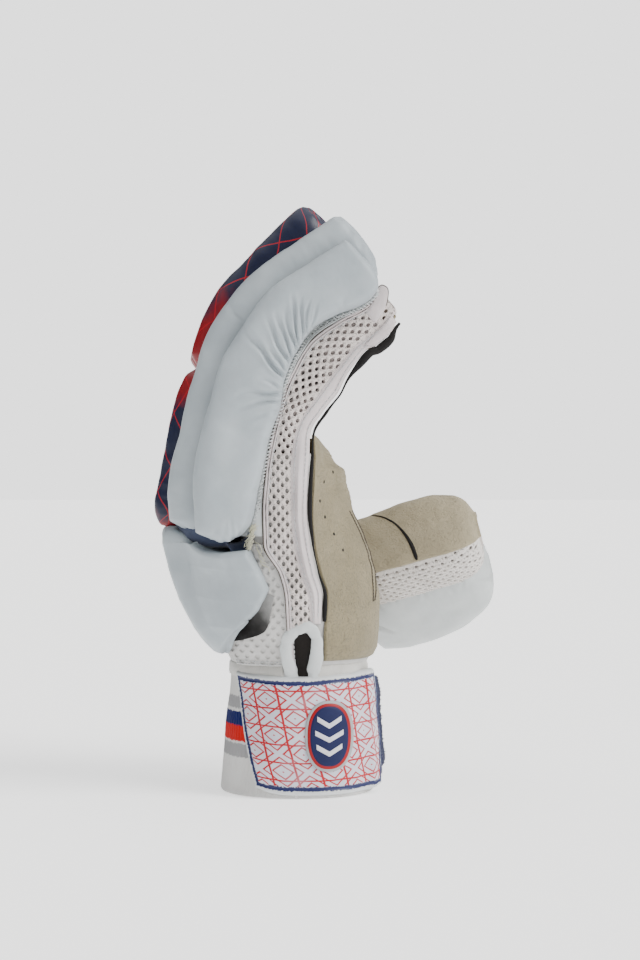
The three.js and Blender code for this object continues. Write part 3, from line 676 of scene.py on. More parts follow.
def cuffMaterial():
    # ribbed knit; the stripes are knitted in by level
    material, tree, shader = newMaterial("cuffKnit", 0.92, 0.08)
    height, blur = cuffLook["height"], cuffLook["blur"]
    where = coordinates(tree)
    rise = node(tree, "SeparateXYZ", where).outputs[2]
    fray = mapped(tree, noise(tree, where, 900.0, 2.0, 0.8), 0.3, 0.7, -0.55, 0.55)
    level = calc(tree, "DIVIDE", plus(tree, times(tree, rise, 1000.0), fray), height)
    marks = [(0.0, cuffLook["white"])]
    for low, high, name, below, whiteAbove in cuffLook["stripes"]:
        marks.append((low / height - blur, cuffLook[below]))
        marks += [(low / height + blur, cuffLook[name]), (high / height - blur, cuffLook[name])]
        if whiteAbove:
            marks.append((high / height + blur, cuffLook["white"]))
    colour = ramp(tree, level, marks)
    cloud = mapped(tree, noise(tree, where, 60.0, 3.0), 0.3, 0.7, 0.0, 0.22)
    paint(tree, shader, mixColours(tree, cloud, colour, (0.45, 0.45, 0.45), "MULTIPLY"))
    sheen(shader, 0.05, 0.6)
    flat = node(tree, "SeparateXYZ", flatUv(tree))
    ribs = calc(tree, "SINE", times(tree, flat.outputs[0], 5200.0))
    loops = calc(tree, "SINE", times(tree, flat.outputs[1], 8500.0))
    knit = plus(tree, times(tree, ribs, 0.7), times(tree, times(tree, ribs, loops), 0.3))
    swell, fuzz = noise(tree, where, 90.0, 2.0), noise(tree, where, 1300.0, 2.0)
    bumped(tree, shader, [(swell, 0.3, 1.0), (knit, 0.4, 0.3), (fuzz, 0.4, 0.15)])
    return material


cuffKnit = cuffMaterial()


# plain nested rhombs: pitches and border in millimetres from the edge
strapLook = {
    "across": 17.0, "along": 23.0, "ring": (0.145, 0.105), "ray": (0.028, 0.02),
    "white": (0.58, 0.60, 0.61), "field": (0.60, 0.60, 0.68), "fieldDark": (0.53, 0.54, 0.61),
    "lineRed": (0.40, 0.002, 0.008), "border": (2.1, 2.3, 4.15, 4.35), "borderNavy": (0.003, 0.008, 0.07),
}


def strapMaterial():
    # coated strap: navy printed border under its stitching, nested red rhombs inside
    material, tree, shader = newMaterial("strapPrint", 0.42, 0.45)
    where = coordinates(tree)
    split = node(tree, "SeparateXYZ", warped(tree, flatUv(tree), where, 110.0, 0.0011))
    across = calc(tree, "PINGPONG", times(tree, split.outputs[0], 1000.0 / strapLook["across"]), 0.5)
    moved = plus(tree, split.outputs[1], 0.006)
    along = calc(tree, "PINGPONG", times(tree, moved, 1000.0 / strapLook["along"]), 0.5)
    ring = calc(tree, "PINGPONG", times(tree, plus(tree, across, along), 5.0), 0.5)
    offMiddle = [calc(tree, "ABSOLUTE", calc(tree, "SUBTRACT", way, 0.25)) for way in (across, along)]
    rayLine = mapped(tree, calc(tree, "MINIMUM", *offMiddle), *strapLook["ray"])
    line = calc(tree, "MAXIMUM", mapped(tree, ring, *strapLook["ring"]), rayLine)
    edge = attribute(tree, "edgeDistance")
    frayed = plus(tree, edge, mapped(tree, noise(tree, where, 1100.0, 2.0), 0.3, 0.7, -0.42, 0.42))
    inside = mapped(tree, edge, 4.2, 4.4)
    faint = mapped(tree, noise(tree, where, 45.0, 2.0), 0.3, 0.45, 0.8, 1.0)
    cloud = mapped(tree, noise(tree, where, 50.0, 3.0), 0.35, 0.65)
    base = mixColours(tree, cloud, strapLook["field"], strapLook["fieldDark"])
    base = mixColours(tree, mapped(tree, edge, 3.4, 3.6), strapLook["white"], base)
    colour = mixColours(tree, times(tree, times(tree, line, inside), faint), base, strapLook["lineRed"])
    outerFrom, outerTo, innerTo, innerFrom = strapLook["border"]
    border = times(tree, mapped(tree, frayed, outerFrom, outerTo), mapped(tree, frayed, innerFrom, innerTo))
    paint(tree, shader, mixColours(tree, border, colour, strapLook["borderNavy"]))
    swell, creases = noise(tree, where, 90.0, 2.0), noise(tree, where, 340.0, 5.0)
    pores = cells(tree, where, 1500.0)
    bumped(tree, shader, [(swell, 0.25, 0.6), (line, 0.1, 0.05), (creases, 0.16, 0.2), (pores, 0.12, 0.08)])
    return material


strapPrint = strapMaterial()


def loopMaterial():
    # worn hook-and-loop face: tangled loops with pale broken ends
    material, tree, shader = newMaterial("loopNavy", 0.95, 0.2)
    where = coordinates(tree)
    tangle = noise(tree, where, 1300.0, 4.0, 0.8)
    speck = cells(tree, where, 900.0)
    colour = mixColours(tree, mapped(tree, tangle, 0.42, 0.62), (0.010, 0.012, 0.042), (0.11, 0.115, 0.17))
    paint(tree, shader, colour)
    sheen(shader, 0.12, 0.6, (0.6, 0.65, 0.9))
    bumped(tree, shader, [(speck, 0.8, 0.5), (tangle, 0.9, 0.6)])
    return material


loopNavy = loopMaterial()


def floorMaterial():
    material, _, shader = newMaterial("floorPale", 0.9, 0.1)
    shader.inputs["Base Color"].default_value = (*studio["floorColour"], 1.0)
    shader.inputs["Emission Color"].default_value = (1.0, 1.0, 1.0, 1.0)
    shader.inputs["Emission Strength"].default_value = studio["floorGlow"]
    return material


# studio: a white wall and floor, a dim room in front, one broad lamp from the right
def makeStudio():
    world = bpy.data.worlds.new("studioWorld")
    scene.world = world
    world.use_nodes = True
    tree = world.node_tree
    background = tree.nodes["Background"]
    split = node(tree, "SeparateXYZ", coordinates(tree, "Generated"))
    wall = calc(
        tree, "MAXIMUM", mapped(tree, split.outputs[1], 0.86, 0.94),
        mapped(tree, split.outputs[2], 0.0, -0.004),
    )
    leftward = mapped(tree, split.outputs[0], 0.25, -0.5)
    upward = mapped(tree, split.outputs[2], 0.45, 0.9)
    room = mapped(tree, leftward, 0.0, 1.0, studio["front"], studio["left"])
    room = plus(tree, room, times(tree, upward, studio["above"]))
    shade = node(tree, "Mix", wall, None, room, studio["behind"]).outputs[0]
    tree.links.new(shade, background.inputs[0])
    bpy.ops.mesh.primitive_circle_add(
        vertices=96, radius=studio["floorRadius"], fill_type="NGON", location=(0, 0, 0),
    )
    floor = bpy.context.object
    floor.name = "floor"
    floor.data.materials.append(floorMaterial())
    sun = bpy.data.lights.new("broadLamp", "SUN")
    sun.energy = studio["sunPower"]
    sun.angle = math.radians(studio["sunAngle"])
    sun.color = studio["sunColour"]
    lamp = bpy.data.objects.new("broadLamp", sun)
    scene.collection.objects.link(lamp)
    lamp.location = studio["sunFrom"]
    lamp.rotation_euler = Vector(studio["sunFrom"]).to_track_quat("Z", "Y").to_euler()
    camera = bpy.data.cameras.new("camera")
    camera.lens = studio["lens"]
    camera.sensor_width = studio["sensor"]
    camera.clip_end = studio["reach"]
    holder = bpy.data.objects.new("camera", camera)
    scene.collection.objects.link(holder)
    holder.location = Vector(toScene(studio["eye"]).tolist())
    holder.rotation_euler = (math.pi / 2, 0, 0)
    scene.camera = holder


makeStudio()
print("studio")


# body of the glove, as in the CAD
fingers = {
    "little": {"midY": -36, "baseX": -7, "baseTurn": 91, "tipTurn": 38, "bend": (24, 106), "length": 131},
    "ring": {"midY": -12, "baseX": -8, "baseTurn": 92, "tipTurn": 46, "bend": (26, 112), "length": 138},
    "middle": {"midY": 12, "baseX": -8, "baseTurn": 92, "tipTurn": 47, "bend": (27, 114), "length": 141},
    "index": {"midY": 36, "baseX": -8, "baseTurn": 92, "tipTurn": 45, "bend": (26, 110), "length": 133},
}
stall = {"deep": 14.0, "wide": 11.6, "power": 0.6, "bottom": 165.4}
hand = {
    "z": [62.4, 70, 80, 95, 111, 125, 137, 150, 158, 163, 165],
    "back": [-33.6, -37.6, -38, -36, -33, -28.5, -25, -23, -22.4, -21.8, -21.4],
    "palm": [31.5, 31, 25, 15, 11.5, 9.5, 8, 7.5, 7.5, 7.2, 7],
    "swell": [1.5, 6, 13, 23, 24, 22, 18, 15.5, 13, 6, 0],
    "halfY": [33.2, 37, 41, 45, 46.5, 47, 47.3, 47.5, 47.5, 47.5, 47.5],
    "power": [0.85, 0.8, 0.7, 0.58, 0.52, 0.5, 0.5, 0.5, 0.5, 0.5, 0.5],
}
cuff = {
    "z": [0, 12, 30, 48, 62],
    "midX": [-1.3, -1.2, -1.3, -0.8, -0.8],
    "halfX": [38, 37.2, 35.6, 33.8, 32.8],
    "halfY": [37, 36.4, 35, 33.8, 33],
    "power": [0.9, 0.9, 0.9, 0.9, 0.88],
}


def walkFinger(finger):
    s = np.arange(0, finger["length"] + 31, 1.0)
    share = smoothStep((s - finger["bend"][0]) / (finger["bend"][1] - finger["bend"][0]))
    turn = np.radians(mix(finger["baseTurn"], finger["tipTurn"], share))
    x = finger["baseX"] + np.concatenate([[0], np.cumsum(np.cos(turn[:-1]))])
    z = 125 + np.concatenate([[0], np.cumsum(np.sin(turn[:-1]))])
    below = np.arange(-80, 0, 1.0)
    upright = np.full(len(below), math.pi / 2)
    return (
        np.concatenate([below, s]),
        np.concatenate([np.full(len(below), float(finger["baseX"])), x]),
        np.concatenate([125 + below, z]),
        np.concatenate([upright, turn]),
    )


lines = {name: walkFinger(finger) for name, finger in fingers.items()}


def onFinger(name, s, d, y):
    s, d, y = np.broadcast_arrays(*(np.asarray(value, float) for value in (s, d, y)))
    stations, x, z, turn = lines[name]
    angle = np.interp(s, stations, turn)
    return np.stack([
        np.interp(s, stations, x) - np.sin(angle) * d, y, np.interp(s, stations, z) + np.cos(angle) * d,
    ], -1)


def handAt(z):
    return {key: np.interp(z, hand["z"], hand[key]) for key in ("back", "palm", "swell", "halfY", "power")}


def onHand(z, turn, grow=0.0):
    z, turn = np.broadcast_arrays(np.asarray(z, float), np.asarray(turn, float))
    row = handAt(z)
    along, across = rounded(turn, row["power"])
    middle = (row["back"] + row["palm"]) / 2
    half = (row["palm"] - row["back"]) / 2
    reach = np.minimum(1, np.abs(row["halfY"] * across - 3) / 49)
    swell = row["swell"] * np.cos(reach * math.pi / 2) ** 2 * np.maximum(0, along)
    return np.stack([middle + (half + grow) * along + swell, (row["halfY"] + grow) * across, z], -1)


def sideOf(middle, half, halfY, power, x, grow):
    along = np.clip(np.abs(x - middle) / (half + grow), 0, 0.985)
    return -(halfY + grow) * (1 - along ** (2 / power)) ** (power / 2)


def handTurn(x, z, grow=0.0):
    # turn of the hand section where its little-finger side lies at x
    x, z = np.broadcast_arrays(np.asarray(x, float), np.asarray(z, float))
    low, high = np.full(x.shape, -math.pi), np.zeros(x.shape)
    for _ in range(24):
        middle = (low + high) / 2
        under = onHand(z, middle, grow)[..., 0] < x
        low, high = np.where(under, middle, low), np.where(under, high, middle)
    return low


def handSideY(x, z, grow=0.0):
    return onHand(z, np.clip(handTurn(x, z, grow), 0.25 - math.pi, -0.25), grow)[..., 1]


def cuffAt(z):
    return {key: np.interp(z, cuff["z"], cuff[key]) for key in ("midX", "halfX", "halfY", "power")}


def onCuff(z, turn, grow=0.0):
    z, turn = np.broadcast_arrays(np.asarray(z, float), np.asarray(turn, float))
    row = cuffAt(z)
    along, across = rounded(turn, row["power"])
    return np.stack([row["midX"] + (row["halfX"] + grow) * along, (row["halfY"] + grow) * across, z], -1)


def cuffSideY(x, z, grow=0.0):
    row = cuffAt(z)
    return sideOf(row["midX"], row["halfX"], row["halfY"], row["power"], x, grow)


def onSide(s, d, lift):
    # skin of the little-finger side: the hand below, the little finger above
    s, d = np.broadcast_arrays(np.asarray(s, float), np.asarray(d, float))
    flat = onFinger("little", s, d, 0.0)
    x, z = flat[..., 0], flat[..., 2]
    onPalm = handSideY(x, z, lift)
    share = np.clip(np.abs(d) / (stall["deep"] + 1), 0, 0.93)
    onStall = -36 - (stall["wide"] + lift) * (1 - share ** (2 / stall["power"])) ** (stall["power"] / 2)
    y = mix(onPalm, onStall, smoothStep((s - 30) / 16))
    return np.stack([x, y, z], -1)


# edges on the little-finger side: station along the little finger, height above its line
sideEdges = {
    "groove": (
        [-63, -41, -28, -17, -3, 12, 30, 53, 75, 92, 105, 119, 128, 131],
        [-3.2, -1.8, -1.1, 1.5, 9, 9.2, 7.6, 5.5, 8, 11, 10, 7.5, 7, 6.6],
    ),
    "meshEnd": (
        [-63, -41, -28, -17, -3, 12, 53, 75, 92, 105, 119, 128, 131],
        [-13.5, -12.8, -11.6, -8.2, -5, -3.7, -4.9, -8, -6.5, -4, -3.5, -1, 0],
    ),
    "trimEnd": (
        [-41, -28, -17, -3, 12, 40, 53, 66, 80, 92, 98, 108, 112, 119, 124, 128],
        [
            -18.3, -18.8, -15.8, -13, -11.7, -13, -12.2, -14.2, -15.3, -12.5, -11.1, -9.2, -10.4, -10.2,
            -8.1, -7.4,
        ],
    ),
    "padLow": (
        [0, 2, 9, 22, 28, 41, 58, 72, 82, 94, 105, 122, 128, 131],
        [24, 19.6, 14.5, 11.7, 10.2, 7.8, 7, 11.1, 13.7, 16.3, 14.5, 10.2, 11.7, 14],
    ),
    "padHigh": (
        [0, 4, 28, 54, 68, 76, 92, 104, 124, 131], [34, 41.5, 41.8, 38, 40, 39.4, 41.9, 40.5, 38.6, 38.2],
    ),
}


def edgeAt(name, s):
    return curve(*sideEdges[name], s)


# thumb, as in the CAD
thumb = {
    "start": np.array([10, 30, 102.1]),
    "u": [0, 16, 32, 50, 66, 76, 82, 85],
    "wide": [17, 18.5, 20, 20.5, 20.5, 18.5, 14.5, 8],
    "deep": [14, 14.5, 15.5, 15.5, 15, 13.5, 10.5, 6],
    "power": 0.6,
}
thumbLine = np.array([0.949, -0.142, 0.279])
thumbLine /= np.linalg.norm(thumbLine)
thumbOut = np.array([0, -math.cos(math.radians(41)), math.sin(math.radians(41))])
thumbOut -= thumbLine * (thumbOut @ thumbLine)
thumbOut /= np.linalg.norm(thumbOut)
thumbAcross = np.cross(thumbOut, thumbLine)


def onThumbFrame(u, across, out):
    u, across, out = np.broadcast_arrays(*(np.asarray(value, float) for value in (u, across, out)))
    return (
        thumb["start"] + u[..., None] * thumbLine + across[..., None] * thumbAcross + out[..., None]
        * thumbOut
    )


def thumbSize(u, grow=0.0):
    return curve(thumb["u"], thumb["wide"], u) + grow, curve(thumb["u"], thumb["deep"], u) + grow


def onThumb(u, turn, grow=0.0):
    wide, deep = thumbSize(u, grow)
    along, across = rounded(turn, thumb["power"])
    return onThumbFrame(u, wide * across, deep * along)


def ringLength(along, across):
    return np.concatenate([[0], np.cumsum(np.hypot(np.diff(along), np.diff(across)))])


def evenRing(count, power, wide, deep):
    # equal steps round a rounded box
    along, across = rounded(np.linspace(0, 2 * math.pi, 6001), power)
    length = ringLength(along * deep, across * wide)
    at = np.arange(count) / count * length[-1]
    return np.interp(at, length, along), np.interp(at, length, across)


def roundedEnds(first, last, spacing, reach, steps=7):
    # stations with round caps: station, share of the full section
    turn = np.linspace(math.radians(86), 0, steps)[:-1]
    body = np.linspace(first, last, max(3, int(round((last - first) / spacing)) + 1))
    stations = np.concatenate([first - reach * np.sin(turn), body, (last + reach * np.sin(turn))[::-1]])
    share = np.concatenate([np.cos(turn), np.ones(len(body)), np.cos(turn)[::-1]])
    return stations, share


def outwardNormals(grid):
    normal = gridNormals(grid, True)
    outward = (normal * (grid - grid.mean(1, keepdims=True))).sum(-1).mean()
    return normal if outward > 0 else -normal


def pushed(grid, depth):
    # moves every point out along the surface
    return grid + outwardNormals(grid) * depth[..., None]


def foldLines(s, e, folds):
    # gathers that start at a seam: station, slant, length, width, depth
    total = np.zeros(np.broadcast(s, e).shape)
    for station, slant, length, width, depth in folds:
        reach = np.clip(1 - e / length, 0, 1)
        centre = station + slant * e + 0.5 * np.sin(e * 0.35 + station)
        across = (s - centre) / (width * (0.75 + 0.5 * np.clip(e / length, 0, 1)))
        total -= depth * reach**0.8 * (bump(across, 0, 1) - 0.42 * bump(np.abs(across), 2.0, 0.9))
    return total


print("shapes")


# side pads
sidePadShape = {
    "ends": (1.0, 130.0), "rowStep": 0.55, "columns": 190, "power": 0.7, "innerY": 48.1, "overFlange": 1.5,
    "halfAt": [0, 3, 10, 22, 40, 55, 70, 84, 98, 110, 122, 129, 133],
    "half": [4.6, 6.2, 7.3, 7.4, 7.3, 6.7, 6.2, 6.7, 7.2, 7.2, 6.9, 6.2, 5],
    # gathers along the palm edge: station, slant, length, width, depth
    "gathers": [
        (62, -0.38, 19, 0.75, 1.7), (65, -0.3, 22, 0.85, 2.1), (67.6, -0.12, 13, 0.7, 1.5),
        (71.5, 0.22, 29, 0.9, 2.9), (74.2, 0.2, 15, 0.7, 1.7), (77.2, 0.34, 23, 0.8, 2.4),
        (80, 0.42, 19, 0.7, 2.1), (82.8, 0.5, 16, 0.7, 2.0), (85.4, 0.6, 19, 0.7, 2.1),
        (88, 0.72, 15, 0.65, 1.7), (90.6, 0.8, 12, 0.65, 1.4), (94, 0.85, 9, 0.7, 1.1),
        (52, -0.2, 9, 1.3, 0.6), (57, -0.35, 11, 1.0, 0.9), (110, 0.5, 7, 1.0, 0.5),
        (22, -0.1, 7, 1.4, 0.4), (35, 0.1, 6, 1.2, 0.35), (44, -0.15, 8, 1.3, 0.4),
    ],
    # gathers where the foot is sewn down: height, slant, length, width, depth
    "footGathers": [
        (20, 0.2, 9, 0.9, 1.0), (23.5, 0.1, 12, 1.0, 0.9), (27.5, -0.1, 10, 1.1, 0.7),
        (33, -0.25, 8, 1.3, 0.6), (17.2, 0.35, 7, 0.8, 0.9),
    ],
}


def padReach(s):
    # the pad reaches over its flange where the finger bends
    return sidePadShape["overFlange"] * smoothStep((s - 42) / 18)


def sidePad(name, finger, side, nodeName):
    shape = sidePadShape
    stations, share = roundedEnds(*shape["ends"], shape["rowStep"], 2.4, 8)
    clipped = np.clip(stations, 0.5, 130.5)
    low, high = edgeAt("padLow", clipped) - padReach(clipped), edgeAt("padHigh", clipped)
    half = curve(shape["halfAt"], shape["half"], clipped)
    along, across = evenRing(shape["columns"], shape["power"], 7, 15)
    across = np.where(across < 0, across, across * 0.9)
    d = ((low + high) / 2)[:, None] + ((high - low) / 2 * share)[:, None] * along[None]
    puff = 1 + 0.05 * np.sin(stations / 19)[:, None]
    y = side * (shape["innerY"] + half[:, None] - across[None] * half[:, None] * share[:, None] * puff)
    s = stations[:, None]
    grid = onFinger(finger, s, d, y)
    fromLow = np.maximum(d - low[:, None], 0)
    fromHigh = np.maximum(high[:, None] - d, 0)
    depth = foldLines(s, fromLow, shape["gathers"])
    facing = np.clip(across[None] * -1.0 + 0.25, 0, 1)
    bottom = np.maximum(s, 0)
    for height, slant, length, width, strength in shape["footGathers"]:
        reach = np.clip(1 - bottom / length, 0, 1)
        depth = depth - strength * reach * bump(d - height, slant * bottom, width)
    # broad dents and the crease that leaves the roll beside it
    broad = evenNoise(spots(s, d * 1.3, 0), 34, 5, 2)
    fine = evenNoise(spots(s, d * 0.55, 0), 11, 8, 3)
    depth = depth * facing + 0.55 * broad * facing + 0.16 * fine
    depth = depth - 0.9 * bump(s, 63, 9) * bump(fromHigh, 0, 9) * facing
    depth = depth - 0.7 * bump(s - 47, 0.16 * (d - 20), 2.2) * facing * bump(d, 26, 7)
    # sewn hollow along the palm edge
    depth = depth - 1.1 * bump(fromLow, 0, 1.6) * facing
    finish(closedPiece(name, pushed(grid, depth)), padWhiteShaded, "pad_white", nodeName, pad=0.85)


sidePad("littleSidePad", "little", -1, "little_side_pad")
sidePad("indexSidePad", "index", 1, "index_side_pad")
print("side pads")

# finger rolls: stations along the finger, heights above its line, half widths
outerRoll = {
    "s": [5.5, 9, 20, 34, 46, 58, 72, 90, 110, 126, 134, 137],
    "low": [20, 14, 10, 10, 10, 12, 14, 14.5, 14.5, 14.5, 17, 22],
    "high": [50, 55, 55.6, 53.9, 50.4, 50, 52.4, 54.4, 53.4, 52.2, 51.9, 50.2],
    "half": [10, 11.6, 12.3, 12.3, 12.2, 12.2, 12.3, 12.3, 12.3, 12.1, 11, 9],
}
lowerRoll = {
    "s": [6, 8, 16, 28, 42, 56, 63.5, 66.9],
    "low": [24, 15, 10, 10, 10, 12, 14.5, 18],
    "high": [54, 60, 62.4, 60.6, 56.6, 54.4, 52.6, 48.5],
    "half": [9.5, 11.5, 12.3, 12.3, 12.2, 12.2, 11.6, 9.8],
}
upperRoll = {
    "s": [67.3, 70, 78, 92, 108, 124, 134, 140, 142],
    "low": [18, 14.8, 14.5, 14.5, 14.5, 14.5, 15.5, 21, 28],
    "high": [48.5, 53.5, 55.2, 56.3, 55.4, 55.4, 55, 54, 52],
    "half": [9.8, 11.7, 12.3, 12.3, 12.3, 12.2, 11.6, 9.4, 7],
}
# creases: station, slant, width, depth, how much they keep to the outer flank
creases = {
    "little": [(81, 1.5, 0.8, 1.6, 1.0), (60, -2, 5, 0.6, 0.2), (40, 2, 6, 0.4, 0.2)],
    "index": [(62, 2, 5, 0.7, 0.2), (96, -2, 4, 0.4, 0.3)],
    "split": [(30, 1, 5, 0.4, 0.1), (100, -1, 5, 0.4, 0.1)],
}
# where the split rolls turn from navy to red
redAlong = {
    "s": [0, 7, 10, 20, 40, 52, 60, 67, 74, 90, 102, 160],
    "red": [1, 0.85, 0.35, 0.12, 0.2, 0.42, 0.72, 1, 0.85, 0.42, 0.05, 0],
}


def fingerRoll(name, finger, rows, nodeName, seed):
    first, last = rows["s"][0], rows["s"][-1]
    middleY = fingers[finger]["midY"]
    stations, share = roundedEnds(first, last, 0.85, 2.0, 7)
    clipped = np.clip(stations, first, last)
    low, high, half = (curve(rows["s"], rows[key], clipped) for key in ("low", "high", "half"))
    along, across = evenRing(144, 0.6, 12, 20)
    d = ((low + high) / 2)[:, None] + ((high - low) / 2 * share)[:, None] * along[None]
    y = middleY + (half * share)[:, None] * across[None]
    s = stations[:, None]
    grid = onFinger(finger, s, d, y)
    broad = evenNoise(spots(s, d, y), 40, seed, 2)
    fine = evenNoise(spots(s * 1.3, d * 0.5, y * 0.6), 12, seed + 1, 3)
    depth = 0.5 * broad + 0.15 * fine
    crown = np.clip((d - low[:, None]) / 30, 0, 1)
    for station, slant, width, strength, focus in creases.get(finger, creases["split"]):
        centre = station + slant * (y - middleY) / 12 + 0.6 * np.sin(y * 0.4)
        flank = bump(y - middleY, -9, 5) * bump(d - high[:, None], -9, 6)
        depth = depth - strength * bump(s, centre, width) * crown * (1 - focus + focus * flank)
    # drawn-in ends
    pucker = 0.5 + 0.5 * np.sin(np.arctan2(across, along)[None] * 11 + seed)
    for end in (first, last):
        depth = depth - 0.55 * bump(s, end, 6) * pucker
    piece = closedPiece(name, pushed(grid, depth))
    if finger in creases:
        finish(piece, padWhiteShaded, "pad_white", nodeName, pad=0.85)
        return
    finish(piece, rollPrint, "roll_print", nodeName, pad=0.85)
    red = curve(redAlong["s"], redAlong["red"], stations)
    setValues(piece, "redness", np.repeat(red[:, None], grid.shape[1], 1))


fingerRoll("littleRoll", "little", outerRoll, "little_roll", 21)
fingerRoll("indexRoll", "index", outerRoll, "index_roll", 31)
fingerRoll("ringRollLower", "ring", lowerRoll, "ring_roll_lower", 41)
fingerRoll("ringRollUpper", "ring", upperRoll, "ring_roll_upper", 48)
fingerRoll("middleRollLower", "middle", lowerRoll, "middle_roll_lower", 55)
fingerRoll("middleRollUpper", "middle", upperRoll, "middle_roll_upper", 62)
print("rolls")


# cloth on the little-finger side
# knitted nets: reach both ways, cell pitch, half axes of a hole, depth of a closed back
nets = {
    "sideNet": {"span": ((-44, 130), (-16, 13)), "pitch": (5.3, 2.05), "hole": (1.22, 0.95), "floor": None},
    "sleeveNet": {"span": ((-40, 2), (62, 122)), "pitch": (5.0, 2.9), "hole": (1.15, 1.25), "floor": 0.75},
    "thumbNet": {"span": ((8, 85), (-16, 16)), "pitch": (5.1, 2.1), "hole": (0.95, 0.78), "floor": None},
}
knit = {"margin": 1.3, "shake": 0.07, "size": (0.88, 1.1), "room": 0.02, "weld": 3e-6}


def wovenHoles(name, lay, clamp):
    # staggered six-sided cells of twelve points, each with a real hole
    (u0, u1), (v0, v1) = nets[name]["span"]
    pitchU, pitchV = nets[name]["pitch"]
    hole, floor = nets[name]["hole"], nets[name]["floor"]
    tall = pitchV / 2 - pitchU**2 / (8 * pitchV)
    long = pitchV - tall
    half, quarter, slope = pitchU / 2, pitchU / 4, (tall + long) / 2
    corners = np.array([
        (half, 0), (half, tall), (quarter, slope), (0, long), (-quarter, slope), (-half, tall),
        (-half, 0), (-half, -tall), (-quarter, -slope), (0, -long), (quarter, -slope), (half, -tall),
    ])
    angle = np.arctan2(corners[:, 1], corners[:, 0])
    rimRing = np.stack([hole[0] * np.cos(angle), hole[1] * np.sin(angle)], 1)
    centres = []
    for row in range(int((v1 - v0) / pitchV) + 2):
        shift = half if row % 2 else 0.0
        for col in range(int((u1 - u0) / pitchU) + 2):
            centres.append((u0 + shift + col * pitchU, v0 + row * pitchV))
    centres = np.array(centres)
    centres = centres[np.hypot(*(clamp(centres) - centres).T) < 0.5 * pitchU]
    shakes = rng.normal(size=(len(centres), 2)) * knit["shake"]
    points, faces, uvs, heights, start = [], [], [], [], 0
    for centre, shake in zip(centres, shakes):
        ring = clamp(centre + corners)
        middle = centre + shake
        size = rng.uniform(*knit["size"])
        rim = middle + rimRing * size
        wider = rim + (rim - middle) * (knit["margin"] - 1)
        whole = np.hypot(*(clamp(wider) - wider).T).max() < knit["room"]
        if whole and floor is None:
            layers = [
                (ring, 0.0), ((ring + rim) / 2, 0.22), (rim, -0.08),
                (middle + rimRing * size * 0.94, -0.85),
            ]
        elif whole:
            layers = [(ring, 0.0), ((ring + rim) / 2, 0.12), (rim, -0.05)]
            layers += [(middle + rimRing * size * 0.7, -floor), (middle + rimRing * 0.05, -floor)]
        else:
            heart = ring.mean(0)
            layers = [(ring, 0.0), ((ring + heart) / 2, 0.1), (heart + (ring - heart) * 0.05, 0.1)]
        for flat, height in layers:
            points.append(flat)
            heights.append(np.full(12, height))
        for (near, _), (far, _) in zip(layers[:-1], layers[1:]):
            for k in range(12):
                n = (k + 1) % 12
                faces.append((start + k, start + n, start + 12 + n, start + 12 + k))
                uvs += [tuple(near[k]), tuple(near[n]), tuple(far[n]), tuple(far[k])]
            start += 12
        start += 12
    points, heights = np.concatenate(points), np.concatenate(heights)
    piece = meshPiece(name, lay(points[:, 0], points[:, 1], heights), faces, uvs, fixNormals=False)
    editMesh(piece.data, lambda work: bmesh.ops.remove_doubles(work, verts=work.verts, dist=knit["weld"]))
    piece.data.shade_smooth()
    return piece


def sideMeshClamp(points):
    # u is the station along the finger, v the height above its line
    s = np.clip(points[:, 0], -43.5, 129.5)
    low, high = edgeAt("meshEnd", s) - 0.8, edgeAt("groove", s) + 0.8
    return np.stack([s, np.clip(points[:, 1], low, high)], 1)


def onSideMesh(s, d, h):
    # the net bulges a little between its two seams
    low, high = edgeAt("meshEnd", s), edgeAt("groove", s)
    share = np.clip((d - low) / np.maximum(high - low, 1), 0, 1)
    bow = 0.9 * np.sin(share * math.pi) + 0.35 * np.sin(s / 7.3) * np.sin(share * math.pi)
    return onSide(s, d, 1.3 + h + bow)


finish(wovenHoles("sideNet", onSideMesh, sideMeshClamp), meshPink, "mesh", "little_stall")


def stripGrid(lowName, highName, ends, columns, lift, spacing, profile=None, grow=(0.0, 0.0)):
    s = np.linspace(*ends, int((ends[1] - ends[0]) / spacing) + 1)
    low, high = edgeAt(lowName, s) - grow[0], edgeAt(highName, s) + grow[1]
    share = np.linspace(0, 1, columns)
    d = low[:, None] + (high - low)[:, None] * share[None]
    rise = np.zeros_like(share) if profile is None else profile(share)
    return s[:, None] + 0 * d, d, lift + rise[None] + 0 * d


def alongEdge(name, s, shift, lift):
    return onSide(s, edgeAt(name, s) + shift, lift)


# lining seen through the net, painted dark brown as the shade inside the holes
s, d, lift = stripGrid("meshEnd", "groove", (-44, 130), 14, -0.9, 2.0)
finish(sheetPiece("sideLining", onSide(s, d, lift), onSide(s, d, lift - 0.8)), liningShadeBrown, "mesh")

# soft ribbon between the net and the black edge
ribbon = {"ends": (-41, 126.5), "columns": 26, "puff": 1.1, "thick": 1.6, "grow": (-0.9, 0.7)}
s, d, lift = stripGrid(
    "trimEnd", "meshEnd", ribbon["ends"], ribbon["columns"], 1.0, 0.8,
    lambda t: ribbon["puff"] * np.clip(np.sin(t * math.pi), 0, 1) ** 0.5, ribbon["grow"],
)
share = np.linspace(0, 1, ribbon["columns"])[None]
ripple = 0.5 * evenNoise(spots(s, d * 2.0, 0), 26, 3, 2) * np.sin(share * math.pi)
groovesAlong = -0.35 * bump(share, 0.3, 0.035) - 0.3 * bump(share, 0.82, 0.04)
fold = 1.2 * bump(share, 0.52, 0.12) * smoothStep((60 - s) / 50) * smoothStep((s + 45) / 20)
ribbonTop = onSide(s, d, lift + ripple + groovesAlong + fold)
finish(sheetPiece("sideTrim", ribbonTop, onSide(s, d, lift - ribbon["thick"])), trimPink, "trim", "side_trim")

